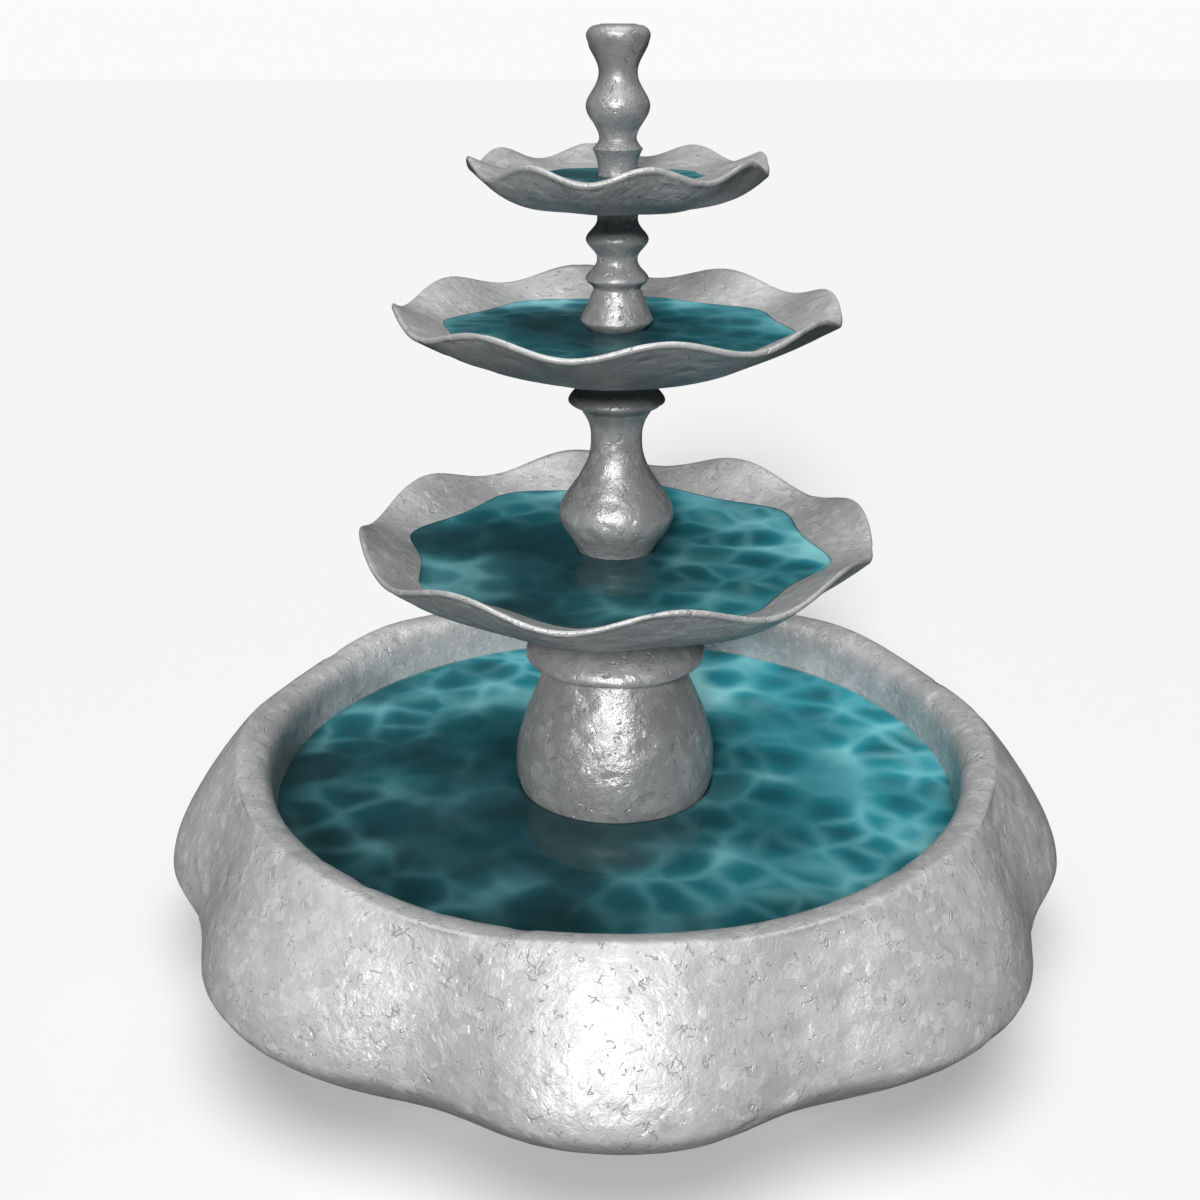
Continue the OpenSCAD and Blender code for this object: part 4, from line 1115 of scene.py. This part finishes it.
@dataclass
class Basin:
    """The lobed pool basin on its hollow foot. Lengths in millimetres."""

    belly_r: float = 202.0
    belly_z: float = 43.0
    lobe: float = 6.5
    rim_r: float = 171.0
    rim_z: float = 99.0
    rim_wave: float = 2.0
    pool_r: float = 156.0
    floor_z: float = 46.0
    wall: float = 7.0
    foot_r: float = 157.0
    foot_z: float = 1.0
    locator_r: float = 34.0
    water_z: float = 75.0
    step: float = 2.2
    relief: Relief = field(default_factory=lambda: Relief(0.9, 30.0, 0.75, 62.0, 0.34, 3.0))

    def outer(self, inset: float, rough: float, step: float) -> list[Ring]:
        """Rings up the outer wall, or up its inner face at an inset."""
        foot = (
            (self.foot_r, self.foot_z), (self.foot_r + 9, self.foot_z + 3),
            (self.belly_r - 2, self.belly_z - 11),
        )
        wall = (
            (self.belly_r - 1, self.belly_z + 16), (self.rim_r + 1.5, self.rim_z),
            (self.rim_r, self.rim_z),
        )
        belly = (self.belly_r, self.belly_z)
        rings = []
        for start, curve, length in ((0.0, (*foot, belly), 67.0), (0.5, (belly, *wall), 70.0)):
            count = math.ceil(length / step)
            for i in range(0 if start == 0 else 1, count + 1):
                u = i / count
                t = start + u / 2
                if inset and t > 0.86:
                    break
                r, z = bezier(curve, u)
                lift = 0.0 if inset else self.rim_wave * t**3
                crowded = False
                if rough and rings and i < count:
                    crowded = math.dist((r - inset, z), (rings[-1].r, rings[-1].z)) < 0.6 * step
                if not crowded:
                    rings.append(Ring(r - inset, z, self.lobe * math.sin(math.pi * t), lift, rough))
        return rings

    def sump(self) -> list[tuple[float, float]]:
        """The pool's wall and floor, from the lip down and in to the pedestal's place."""
        down = (
            (self.pool_r, self.rim_z - 12), (self.pool_r - 1, self.floor_z + 12),
            (self.pool_r - 8, self.floor_z), (self.pool_r - 28, self.floor_z),
        )
        return [bezier(down, i / 26) for i in range(27)]

    def outline(self) -> list[Ring]:
        """The whole casting, from the middle of the floor's underside round to the pool's floor."""
        roof = self.floor_z - self.wall
        void = (
            (self.pool_r + self.wall, self.floor_z + 14), (self.pool_r + self.wall, self.floor_z),
            (self.pool_r - 4, roof), (self.pool_r - 26, roof),
        )
        rings = [Ring(0, roof), Ring(self.pool_r / 3, roof), Ring(2 * self.pool_r / 3, roof)]
        rings += [Ring(*bezier(void, 1 - i / 6)) for i in range(7)]
        rings += [Ring(self.pool_r + self.wall + 1, self.rim_z - self.wall - 9)]
        rings += [Ring(self.rim_r - 3, self.rim_z - self.wall - 3)]
        rings += list(reversed(self.outer(self.wall, 0.0, 12.0)))
        rings += self.outer(0.0, 1.0, self.step)
        lip = (
            (self.rim_r, self.rim_z), (self.rim_r - 9, self.rim_z),
            (self.pool_r + 0.5, self.rim_z - 2), (self.pool_r, self.rim_z - 12),
        )
        for i in range(1, 13):
            r, z = bezier(lip, i / 12)
            rings.append(Ring(r, z, 0.0, self.rim_wave * (1 - i / 12) ** 2, 0.8))
        rings += [Ring(r, z, rough=0.55) for r, z in self.sump()[1:]]
        rings += polyline([(self.pool_r - 32, self.floor_z), (60, self.floor_z)], 6.0, 0.4)
        inner = self.locator_r - 2
        rings += [Ring(r, z) for r, z in (
            (50, self.floor_z), (self.locator_r, self.floor_z), (self.locator_r, self.floor_z + 4),
            (inner, self.floor_z + 4), (inner, self.floor_z), (inner / 2, self.floor_z), (0, self.floor_z),
        )]
        return rings

    def build(self, shop: Workshop) -> bpy.types.Object:
        """Casts the basin and opens its socket and its gland."""
        piece = shop.casting("basin_cast", self.outline(), 600, self.relief)
        low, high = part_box("dc_socket")
        seat = high[1] - 2.5 * MM
        across = Matrix.Translation((0, 0, (low[2] + high[2]) / 2)) @ Matrix.Rotation(math.pi / 2, 4, "X")
        gland = [(a + b) / 2 for a, b in zip(*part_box("floor_gland"))]
        return shop.cut(piece, (
            rod(8.5 * MM, 0.03, Matrix.Translation((0, seat + 0.015, 0)) @ across),
            rod(5.6 * MM, 0.03, Matrix.Translation((0, seat, 0)) @ across),
            rod(3.2 * MM, 0.02, Matrix.Translation(gland)),
        ))

    def bed(self, angle: float) -> list[tuple[float, float]]:
        """The pool's bed under water, from the shore in to the pedestal."""
        under = [(r - 0.9, z + 0.7) for r, z in self.sump() if z < self.water_z - 2.5]
        flat = [(r, self.floor_z + 0.7) for r in (118, 106, 94, 82, 70, 60, 52, 46)]
        return [(self.pool_r + 0.3, self.water_z), *under, *flat]


@dataclass
class Bowl:
    """A scalloped bowl on a hub. Lengths in millimetres."""

    name: str
    node: str
    body: str
    r: float
    h: float
    floor: float
    wave: float
    under_flat: float
    under_power: float
    top_flat: float
    top_power: float
    hub_r: float
    hub_h: float
    bores: list[tuple[float, float]]
    segments: int
    step: float
    water: float
    lip: float = 3.0
    phase: float = math.radians(10.7)
    relief: Relief = field(default_factory=Relief)

    def __post_init__(self) -> None:
        """Takes the bowl's height from its CAD node."""
        self.z = heights(self.node)[0] + self.hub_h

    def top_at(self, u: float) -> tuple[float, float, float]:
        """The upper face at u from its flat middle (0) to its lip (1): radius, height and lift."""
        r = blend(self.top_flat, self.r - 0.4 * self.lip, u)
        return r, self.z + self.floor + (self.h - self.floor) * u**self.top_power, self.wave * u**3.5

    def outline(self) -> list[Ring]:
        """The closed outline: hub, underside, lip, upper face and bore."""
        hub_z = self.z - self.hub_h
        count = math.ceil((self.r - self.under_flat) * 1.12 / self.step)
        rings = polyline([(self.bores[0][0], hub_z), (self.hub_r, hub_z), (self.hub_r, self.z)], 3.0)
        rings += polyline([(self.hub_r, self.z), (self.under_flat - 1.5, self.z)], 4.0)[1:]
        for i in range(count + 1):
            u = i / count
            r = blend(self.under_flat, self.r - 0.3 * self.lip, u)
            z = self.z + (self.h - self.lip) * u**self.under_power
            rings.append(Ring(r, z, 0.0, self.wave * u**3.5, 0.0 if i < 3 else 1.0))
        middle = self.z + self.h - self.lip / 2
        for angle in (-50, -25, 0, 25, 50, 75):
            a = math.radians(angle)
            r = self.r - 0.4 * self.lip + 0.4 * self.lip * math.cos(a)
            rings.append(Ring(r, middle + 0.5 * self.lip * math.sin(a), 0.0, self.wave, 0.8))
        for i in range(count, -1, -1):
            r, z, lift = self.top_at(i / count)
            rings.append(Ring(r, z, 0.0, lift, 0.0 if i < 3 else 0.7))
        top = self.z + self.floor
        last = self.bores[-1][0]
        rings += polyline([(self.top_flat - 1.0, top), (last, top)], 4.0)
        at = top
        for (r, low), following in zip(reversed(self.bores), [*reversed(self.bores[:-1]), None]):
            rings += polyline([(r, at), (r, low)], 4.0)[1:]
            if following:
                rings.append(Ring(following[0], low))
            at = low
        return rings

    def shore(self, angle: float) -> float:
        """How far up the upper face the water reaches at an angle, as u."""
        wave = math.cos(8 * (angle - self.phase))
        low, high = 0.0, 1.0
        for _ in range(40):
            u = (low + high) / 2
            _, z, lift = self.top_at(u)
            if z + lift * wave < self.water:
                low = u
            else:
                high = u
        return high

    def bed(self, angle: float) -> list[tuple[float, float]]:
        """The bed of the bowl's water, from the shore in to the stem."""
        wave = math.cos(8 * (angle - self.phase))
        shore = self.shore(angle)
        r, _, _ = self.top_at(min(1.0, shore + 0.004))
        points = [(r, self.water)]
        rows = 22
        for i in range(rows, 0, -1):
            r, z, lift = self.top_at(0.985 * shore * i / rows)
            points.append((r - 0.2, min(self.water - 0.12, z + lift * wave + 0.55)))
        points.append((self.top_flat + 0.2, min(self.water - 0.12, self.z + self.floor + 0.55)))
        return points

    def build(self, shop: Workshop) -> bpy.types.Object:
        """Casts the bowl."""
        return shop.casting(self.name, self.outline(), self.segments, self.relief, 8, self.phase)


@dataclass
class Stem:
    """A turned stem or finial on a spigot. Lengths in millimetres."""

    name: str
    node: str
    knots: list[Knot]
    spigot_r: float
    spigot_h: float
    seal_r: float
    pockets: list[tuple[float, float]]
    segments: int
    step: float
    bore: float = 5.0
    seal_t: float = 2.0
    relief: Relief = field(default_factory=Relief)

    def __post_init__(self) -> None:
        """Takes the stem's heights from its CAD node."""
        low, self.top = heights(self.node)
        self.low = low + self.spigot_h

    def turned(self) -> list[Ring]:
        """The outline that shows, from the foot up."""
        return eased(turned(self.knots, self.low, self.top, self.step), 0.45)

    def outline(self) -> list[Ring]:
        """The closed outline: spigot, seal's seat, turned side, pockets and bore."""
        end = self.low - self.spigot_h
        rings = polyline([
            (self.bore, end), (self.spigot_r, end), (self.spigot_r, self.low + self.seal_t),
            (self.seal_r, self.low + self.seal_t), (self.seal_r, self.low),
        ], 3.0)
        rings += self.turned()
        at = self.top
        for r, depth in self.pockets:
            rings += polyline([(r, at), (r, at - depth)], 3.0)
            at -= depth
        rings += polyline([(self.bore, at), (self.bore, end)], 5.0)
        return rings

    def build(self, shop: Workshop) -> bpy.types.Object:
        """Casts the stem."""
        return shop.casting(self.name, self.outline(), self.segments, self.relief, finish=SHADED_COLUMN_STONE)


@dataclass
class Pedestal:
    """The bulbous pedestal with its collar, hollow over the pump. Lengths in millimetres."""

    bulb_r: float = 46.3
    collar_r: float = 40.8
    foot_bore: float = 34.3
    bore: float = 5.0
    hub_r: float = 16.1
    hub_depth: float = 8.3
    collar_at: float = 0.765
    step: float = 1.4
    segments: int = 320
    relief: Relief = field(default_factory=lambda: Relief(0.8, 34.0, 0.55, 70.0, 0.30, 5.0))

    def __post_init__(self) -> None:
        """Takes the pedestal's heights from its CAD node."""
        self.low, self.top = heights("pedestal")

    def turned(self) -> list[Ring]:
        """The outline that shows, from the foot up."""
        foot = self.collar_r + 0.3
        pedestal_h = self.top - self.low + 0.3
        bulb = [
            Knot(foot, 0), Knot(foot, 0.06), Knot(foot - 1.7, 0.11, Way.EASE),
            Knot(self.bulb_r, 0.323, Way.EASE, 1.45), Knot(self.bulb_r - 18.3, 0.891, Way.EASE),
        ]
        collar_z = self.low + self.collar_at * pedestal_h
        side = turned(bulb, self.low, self.low + pedestal_h, self.step)
        rings = [ring for ring in side if ring.z < collar_z]
        collar = [
            Knot(self.collar_r - 0.6, 0), Knot(self.collar_r, 0.03), Knot(self.collar_r, 0.07),
            Knot(self.collar_r - 13.5, 0.7, Way.EASE), Knot(self.collar_r - 11, 1, Way.FLARE, 2),
        ]
        rings += turned(collar, collar_z, self.top, self.step)
        return eased(rings, 0.6)

    def outline(self) -> list[Ring]:
        """The closed outline: foot, bulb, collar, hub's pocket, bore and pump chamber."""
        pedestal_h = self.top - self.low + 0.3
        rings = [Ring(self.foot_bore, self.low), Ring(self.collar_r - 3, self.low)]
        rings += self.turned()
        roof = self.low + 0.72 * pedestal_h
        pocket = self.top - self.hub_depth
        rings += polyline([
            (self.hub_r, self.top), (self.hub_r, pocket), (self.bore, pocket), (self.bore, roof),
            (self.bore + 3, roof), (self.bulb_r - 12.3, self.low + 0.5 * pedestal_h),
            (self.bulb_r - 7.8, self.low + 0.323 * pedestal_h), (self.foot_bore, self.low + 13.7),
            (self.foot_bore, self.low),
        ], 4.0)
        return rings

    def build(self, shop: Workshop) -> bpy.types.Object:
        """Casts the pedestal and cuts the three notches that let water in to the pump."""
        piece = shop.casting("pedestal_cast", self.outline(), self.segments, self.relief, finish=SHADED_COLUMN_STONE)
        cutters = []
        floor = self.low - 0.3
        for degrees in (130, 180, 230):
            turn = Matrix.Rotation(math.radians(degrees), 4, "Z")
            out = -(self.bulb_r - 10) * MM
            arch = Matrix.Translation((0, out, (floor + 4) * MM)) @ Matrix.Rotation(math.pi / 2, 4, "X")
            cutters.append(rod(6 * MM, 0.03, turn @ arch))
            block = bmesh.new()
            size = Matrix.Diagonal((0.012, 0.0302, 0.0051, 1))
            sill = turn @ Matrix.Translation((0, out, (floor + 1.5) * MM)) @ size
            bmesh.ops.create_cube(block, size=1, matrix=sill)
            cutters.append(block)
        return shop.cut(piece, cutters, SHADED_COLUMN_STONE)


@dataclass
class Castings:
    """All the castings and the water that they hold."""

    basin: Basin = field(default_factory=Basin)
    pedestal: Pedestal = field(default_factory=Pedestal)

    def __post_init__(self) -> None:
        """Sets out the bowls and the stems."""
        r, foot = 25.3, 18.2
        self.middle_stem = Stem(
            "middle_stem_cast", "middle_stem",
            [
                Knot(foot, 0), Knot(foot, 0.024),
                Knot(r - 9.9, 0.1, Way.EASE), Knot(r, 0.342, Way.EASE, 0.87),
                Knot(r - 14.1, 0.718, Way.EASE, 1.27), Knot(r - 10.5, 0.835, Way.FLARE, 2.2),
                Knot(r - 4.4, 0.889, Way.EASE), Knot(r - 9.7, 1, Way.EASE, 1.3),
            ],
            spigot_r=10.0, spigot_h=12.8, seal_r=foot - 3.2, pockets=[(11.1, 7.3)],
            segments=240, step=1.1, relief=Relief(0.6, 45.0, 0.4, 95.0, 0.28, 7.0),
        )
        r, foot = 15.3, 10.0
        self.upper_stem = Stem(
            "upper_stem_cast", "upper_stem",
            [
                Knot(foot, 0), Knot(foot, 0.18), Knot(r, 0.293, Way.EASE), Knot(r - 5.3, 0.492),
                Knot(r - 2, 0.557, Way.EASE), Knot(r - 6.7, 0.689, Way.EASE, 1.2),
                Knot(r - 2.2, 0.809, Way.EASE),
                Knot(r - 6.8, 0.938, Way.EASE, 1.1), Knot(r - 6.4, 1, Way.EASE),
            ],
            spigot_r=7.0, spigot_h=10.0, seal_r=foot - 0.9, pockets=[(6.7, 5.3)],
            segments=176, step=0.8, relief=Relief(0.5, 60.0, 0.3, 120.0, 0.26, 9.0),
        )
        r, foot = 13.0, 8.0
        self.finial = Stem(
            "finial_cast", "finial",
            [
                Knot(foot, 0), Knot(foot, 0.1), Knot(r - 2.6, 0.244, Way.FLARE, 2.2),
                Knot(r - 5.3, 0.306, Way.FLARE, 1.4), Knot(r, 0.508, Way.EASE),
                Knot(r - 5.1, 0.715, Way.EASE, 1.1),
                Knot(r - 0.2, 0.93, Way.EASE), Knot(r - 5.6, 1, Way.ROUND),
            ],
            spigot_r=6.2, spigot_h=6.0, seal_r=foot - 0.7, pockets=[(6.6, 3.2), (5.6, 17.6)],
            segments=176, step=0.8, relief=Relief(0.45, 60.0, 0.3, 120.0, 0.26, 11.0),
        )
        self.lower_bowl = Bowl(
            "lower_bowl_cast", "lower_bowl", "lower_tier", r=111.6, h=33.0, floor=6.8, wave=4.2,
            under_flat=30.8, under_power=2.86, top_flat=20.0, top_power=1.69, hub_r=16.0, hub_h=8.0,
            bores=[(10.3, 157.0)], segments=420, step=1.9, water=188.3,
            relief=Relief(0.7, 36.0, 0.5, 72.0, 0.30, 13.0),
        )
        self.middle_bowl = Bowl(
            "middle_bowl_cast", "middle_bowl", "middle_tier", r=92.7, h=29.9, floor=5.0, wave=3.1,
            under_flat=16.2, under_power=1.97, top_flat=11.0, top_power=1.63, hub_r=11.0, hub_h=7.0,
            bores=[(7.3, 257.6)], segments=380, step=1.7, water=285.1,
            relief=Relief(0.65, 40.0, 0.45, 80.0, 0.30, 15.0),
        )
        self.upper_bowl = Bowl(
            "upper_bowl_cast", "upper_bowl", "upper_tier", r=60.6, h=18.6, floor=8.0, wave=2.8,
            under_flat=9.0, under_power=3.7, top_flat=8.7, top_power=1.1, hub_r=6.6, hub_h=5.0,
            bores=[(5.0, 328.0), (6.5, 334.5)], segments=320, step=1.3, water=346.0,
            relief=Relief(0.55, 48.0, 0.35, 95.0, 0.28, 17.0),
        )

    def build(self, shop: Workshop) -> None:
        """Casts every piece and fills the pool and the bowls."""
        shop.hand_over(self.basin.build(shop), "basin", "cast_stone", "basin")
        shop.hand_over(self.pedestal.build(shop), "lower_tier", "cast_stone", "pedestal")
        for bowl in (self.lower_bowl, self.middle_bowl, self.upper_bowl):
            shop.hand_over(bowl.build(shop), bowl.body, "cast_stone", bowl.node)
        lifted = (
            (self.middle_stem, "middle_tier"), (self.upper_stem, "upper_tier"), (self.finial, "finial"),
        )
        for stem, body in lifted:
            shop.hand_over(stem.build(shop), body, "cast_stone", stem.node)
        self.fill(shop)

    def fill(self, shop: Workshop) -> None:
        """Fills the pool and the three bowls with water."""
        basin = self.basin
        stem = wetted(self.pedestal.turned(), basin.floor_z + 0.7, basin.water_z)
        pool = Water("pool_water", basin.water_z, basin.bed, stem, 480, 60)
        shop.hand_over(pool.build(), "basin", "")
        standing = (
            (self.lower_bowl, self.middle_stem), (self.middle_bowl, self.upper_stem),
            (self.upper_bowl, self.finial),
        )
        for bowl, column in standing:
            low = min(bowl.water - 0.12, bowl.z + bowl.floor + 0.55)
            name = bowl.name.replace("cast", "water")
            top = WaterTop(
                f"{name} top", cell_mm=0.17 * bowl.r, shade_r_mm=0.72 * bowl.r,
                shade_shift=(0.1 * bowl.r * MM, 0.0, 0.0),
            )
            water = Water(name, bowl.water, bowl.bed, wetted(column.turned(), low, bowl.water), top=top)
            shop.hand_over(water.build(), bowl.body, "")


# ---------- fittings ----------


@dataclass
class Fittings:
    """Screws, feet, suction cups and the lead. Lengths in millimetres."""

    plate_z: float = 3.0
    boss_ring_r: float = 118.0
    pad_ring_r: float = 130.0
    pump_z: float = 49.5
    lead_r: float = 1.9
    smooth: Relief = field(default_factory=lambda: Relief(0.0, 40.0, 0.0, 80.0, 0.0))

    def item(
        self, shop: Workshop, name: str, points: Sequence[tuple[float, float]], finish: Finish
    ) -> bpy.types.Object:
        """Turns one part about the axis."""
        return shop.casting(name, [Ring(r, z) for r, z in points], 40, self.smooth, finish=finish)

    def screws(self, shop: Workshop) -> None:
        """Six threaded screws with crossed heads, round the base plate."""
        top, low = self.plate_z, self.plate_z - 1.6
        points = [
            (0, low), (2.5, low), (2.95, low + 0.12), (3.18, low + 0.5), (3.2, top - 0.1), (3.1, top),
            (1.6, top), (1.6, top + 3.1),
        ]
        for i in range(13):
            z = top + 3.3 + 0.88 * i
            points += [(1.27, z), (1.56, z + 0.28), (1.58, z + 0.40), (1.27, z + 0.68)]
        points += [(0.9, top + 14.7), (0, top + 15)]
        screw = self.item(shop, "screw", points, PLATED)
        slots = []
        for width, depth in ((3.8, 0.6), (0.6, 3.8)):
            slot = bmesh.new()
            bmesh.ops.create_cube(slot, size=1.0)
            size = Matrix.Diagonal((width * MM, depth * MM, 1.8 * MM, 1.0))
            bmesh.ops.transform(slot, matrix=Matrix.Translation((0, 0, low * MM)) @ size, verts=slot.verts)
            slots.append(slot)
        screw = shop.cut(screw, slots, PLATED)
        sizes = {"Count": 6, "Ring radius": self.boss_ring_r * MM, "First angle": TURN / 12}
        ring = shop.run(screw, shop.pattern_tree, "base_screw_ring", PLATED, sizes)
        shop.hand_over(ring, "basin", "plated_steel", "base_screws")

    def feet(self, shop: Workshop) -> None:
        """Four rubber feet with two grip grooves each."""
        points = [
            (0, 0), (2.6, 0), (2.9, 0.15), (3.1, 0.6), (3.9, 0.6), (4.1, 0.15), (4.4, 0),
            (6.1, 0), (6.4, 0.15), (6.6, 0.6), (7.4, 0.6), (7.6, 0.15), (7.9, 0), (9.9, 0),
            (10.6, 0.25), (10.95, 0.8), (11, 2.5), (10.8, 2.9), (10.5, 3), (0, 3),
        ]
        foot = self.item(shop, "foot", points, RUBBER)
        sizes = {"Count": 4, "Ring radius": self.pad_ring_r * MM, "First angle": TURN / 8}
        ring = shop.run(foot, shop.pattern_tree, "rubber_foot_ring", RUBBER, sizes)
        shop.hand_over(ring, "basin", "black_rubber", "rubber_feet")

    def cups(self, shop: Workshop) -> None:
        """Four hollow suction cups, each on a stud."""
        points = [
            (0, -1.9), (2.2, -2.0), (4.2, -2.9), (5.3, -3.5), (5.5, -3.45), (5.35, -3.1),
            (4.3, -2.0), (3.3, -0.8), (3.05, -0.25), (2.9, 0), (1.5, 0), (1.5, 1.7), (1.2, 2), (0, 2),
        ]
        cup = self.item(shop, "cup", points, RUBBER)
        sizes = {
            "Round": False, "Count": 4, "Width": 15 * MM, "Depth": 18 * MM,
            "Centre": (10.5 * MM, 0, self.pump_z * MM),
        }
        grid = shop.run(cup, shop.pattern_tree, "suction_cup_set", RUBBER, sizes)
        shop.hand_over(grid, "basin", "black_rubber", "suction_cups")

    def route(self) -> list[Vector]:
        """The lead's path: out of the pump, down through the floor and back to the socket."""
        bends = (
            (10, 14, 58), (10, 19.5, 58), (10, 23.4, 56), (10, 24.6, 52), (10, 24.6, 38),
            (10, 26.2, 33.4), (10, 31.6, 31), (10, 60, 31), (12, 86, 31), (14, 118, 31),
            (6, 151, 34), (0, 168, 40), (0, 177, 41),
        )
        knots = [Vector(bend) * MM for bend in bends]
        legs = 10
        path = []
        for i in range(len(knots) - 1):
            a, b, c, d = knots[max(i - 1, 0)], knots[i], knots[i + 1], knots[min(i + 2, len(knots) - 1)]
            for j in range(legs):
                t = j / legs
                bow = (a * 2 - b * 5 + c * 4 - d) * t**2
                twist = (b * 3 - c * 3 + d - a) * t**3
                path.append((b * 2 + (c - a) * t + bow + twist) / 2)
        return path + [knots[-1]]

    def lead(self, shop: Workshop) -> None:
        """The round lead from the pump to the socket."""
        path = self.route()
        mesh = bpy.data.meshes.new("lead path")
        mesh.from_pydata(path, [(i, i + 1) for i in range(len(path) - 1)], [])
        source = bpy.data.objects.new("lead path", mesh)
        bpy.context.scene.collection.objects.link(source)
        lead = shop.run(source, shop.sweep_tree, "pump_lead_run", SHEATH, {"Radius": self.lead_r * MM})
        shop.hand_over(lead, "basin", "lead_sheath", "pump_lead")

    def build(self, shop: Workshop) -> None:
        """Makes every fitting."""
        self.screws(shop)
        self.feet(shop)
        self.cups(shop)
        self.lead(shop)


# ---------- carried-over pieces ----------


def dress_cad_nodes() -> None:
    """Gives every CAD node that still shows the finish of its slot."""
    for part in frame["record"]["subparts"]:
        node = frame["nodes"][part["node"]]
        if node.hide_render:
            continue
        node.data.materials.clear()
        node.data.materials.append(SLOT_FINISH[part["material_slot"]].material())
        log.info("%s: finish %s", part["node"], part["material_slot"])


# ---------- stage ----------


@dataclass
class Stage:
    """Floor, light and camera."""

    camera_at: tuple[float, float, float] = (-0.00707, -0.600, 0.40102)
    camera_tilt_deg: float = 68.35
    lens_mm: float = 43.28
    floor_half: float = 12.0

    def build(self) -> None:
        """Sets out the floor, the lamps, the sky and the camera."""
        bpy.context.scene.view_settings.view_transform = "Standard"
        self.floor()
        self.sky()
        self.lamp("key", -8.0, 25.0, 12.0, 3.5)
        self.lamp("top", 0.0, 84.0, 55.0, 2.1)
        data = bpy.data.cameras.new("camera")
        data.lens, data.sensor_width = self.lens_mm, 36.0
        data.clip_start, data.clip_end = 0.01, 100.0
        camera = bpy.data.objects.new("camera", data)
        camera.location = self.camera_at
        camera.rotation_euler = (math.radians(self.camera_tilt_deg), 0, 0)
        bpy.context.scene.collection.objects.link(camera)
        bpy.context.scene.camera = camera

    def floor(self) -> None:
        """Lays the pale floor."""
        half = self.floor_half
        mesh = bpy.data.meshes.new("floor")
        corners = [(-half, -half, 0), (half, -half, 0), (half, half, 0), (-half, half, 0)]
        mesh.from_pydata(corners, [], [(0, 1, 2, 3)])
        material = bpy.data.materials.new("floor")
        material.use_nodes = True
        sheet = Sheet(material.node_tree)
        shader = material.node_tree.nodes["Principled BSDF"]
        path = sheet.add("ShaderNodeLightPath").outputs["Is Camera Ray"]
        sheet.feed(shader.inputs["Base Color"], sheet.mix(path, (0.03, 0.03, 0.03), (0.80, 0.80, 0.80)))
        shader.inputs["Roughness"].default_value = 0.9
        shader.inputs["Specular IOR Level"].default_value = 0.0
        mesh.materials.append(material)
        floor = bpy.data.objects.new("floor", mesh)
        bpy.context.scene.collection.objects.link(floor)

    def sky(self) -> None:
        """Shows an even pale sky to the camera, and gives the scene almost no light of its own."""
        world = bpy.data.worlds.new("sky")
        world.use_nodes = True
        sheet = Sheet(world.node_tree)
        world.node_tree.nodes.clear()
        seen = sheet.add("ShaderNodeBackground", {"Color": (0.96, 0.96, 0.96, 1), "Strength": 1.0})
        felt = sheet.add("ShaderNodeBackground", {"Color": (1, 1, 1, 1), "Strength": 0.005})
        path = sheet.add("ShaderNodeLightPath").outputs["Is Camera Ray"]
        mix = sheet.add("ShaderNodeMixShader", {0: path, 1: felt.outputs[0], 2: seen.outputs[0]})
        sheet.add("ShaderNodeOutputWorld", {"Surface": mix.outputs[0]})
        bpy.context.scene.world = world

    @staticmethod
    def lamp(name: str, bearing: float, rise: float, spread: float, power: float) -> None:
        """Shines one wide soft light on the whole scene.

        Args:
            name: the light's name.
            bearing: where it comes from, in degrees from the front towards +X.
            rise: its height above the horizon, in degrees.
            spread: how wide it looks, in degrees.
            power: its strength.
        """
        data = bpy.data.lights.new(name, "SUN")
        data.angle, data.energy = math.radians(spread), power
        a, e = math.radians(bearing), math.radians(rise)
        way = Vector((-math.sin(a) * math.cos(e), math.cos(a) * math.cos(e), -math.sin(e)))
        lamp = bpy.data.objects.new(name, data)
        lamp.rotation_euler = way.to_track_quat("-Z", "Y").to_euler()
        bpy.context.scene.collection.objects.link(lamp)


def main() -> None:
    """Builds the fountain and its stage."""
    logging.basicConfig(level=logging.INFO, format="%(name)s: %(message)s")
    Stage().build()
    shop = Workshop()
    Castings().build(shop)
    Fittings().build(shop)
    dress_cad_nodes()


if __name__ == "__main__":
    main()
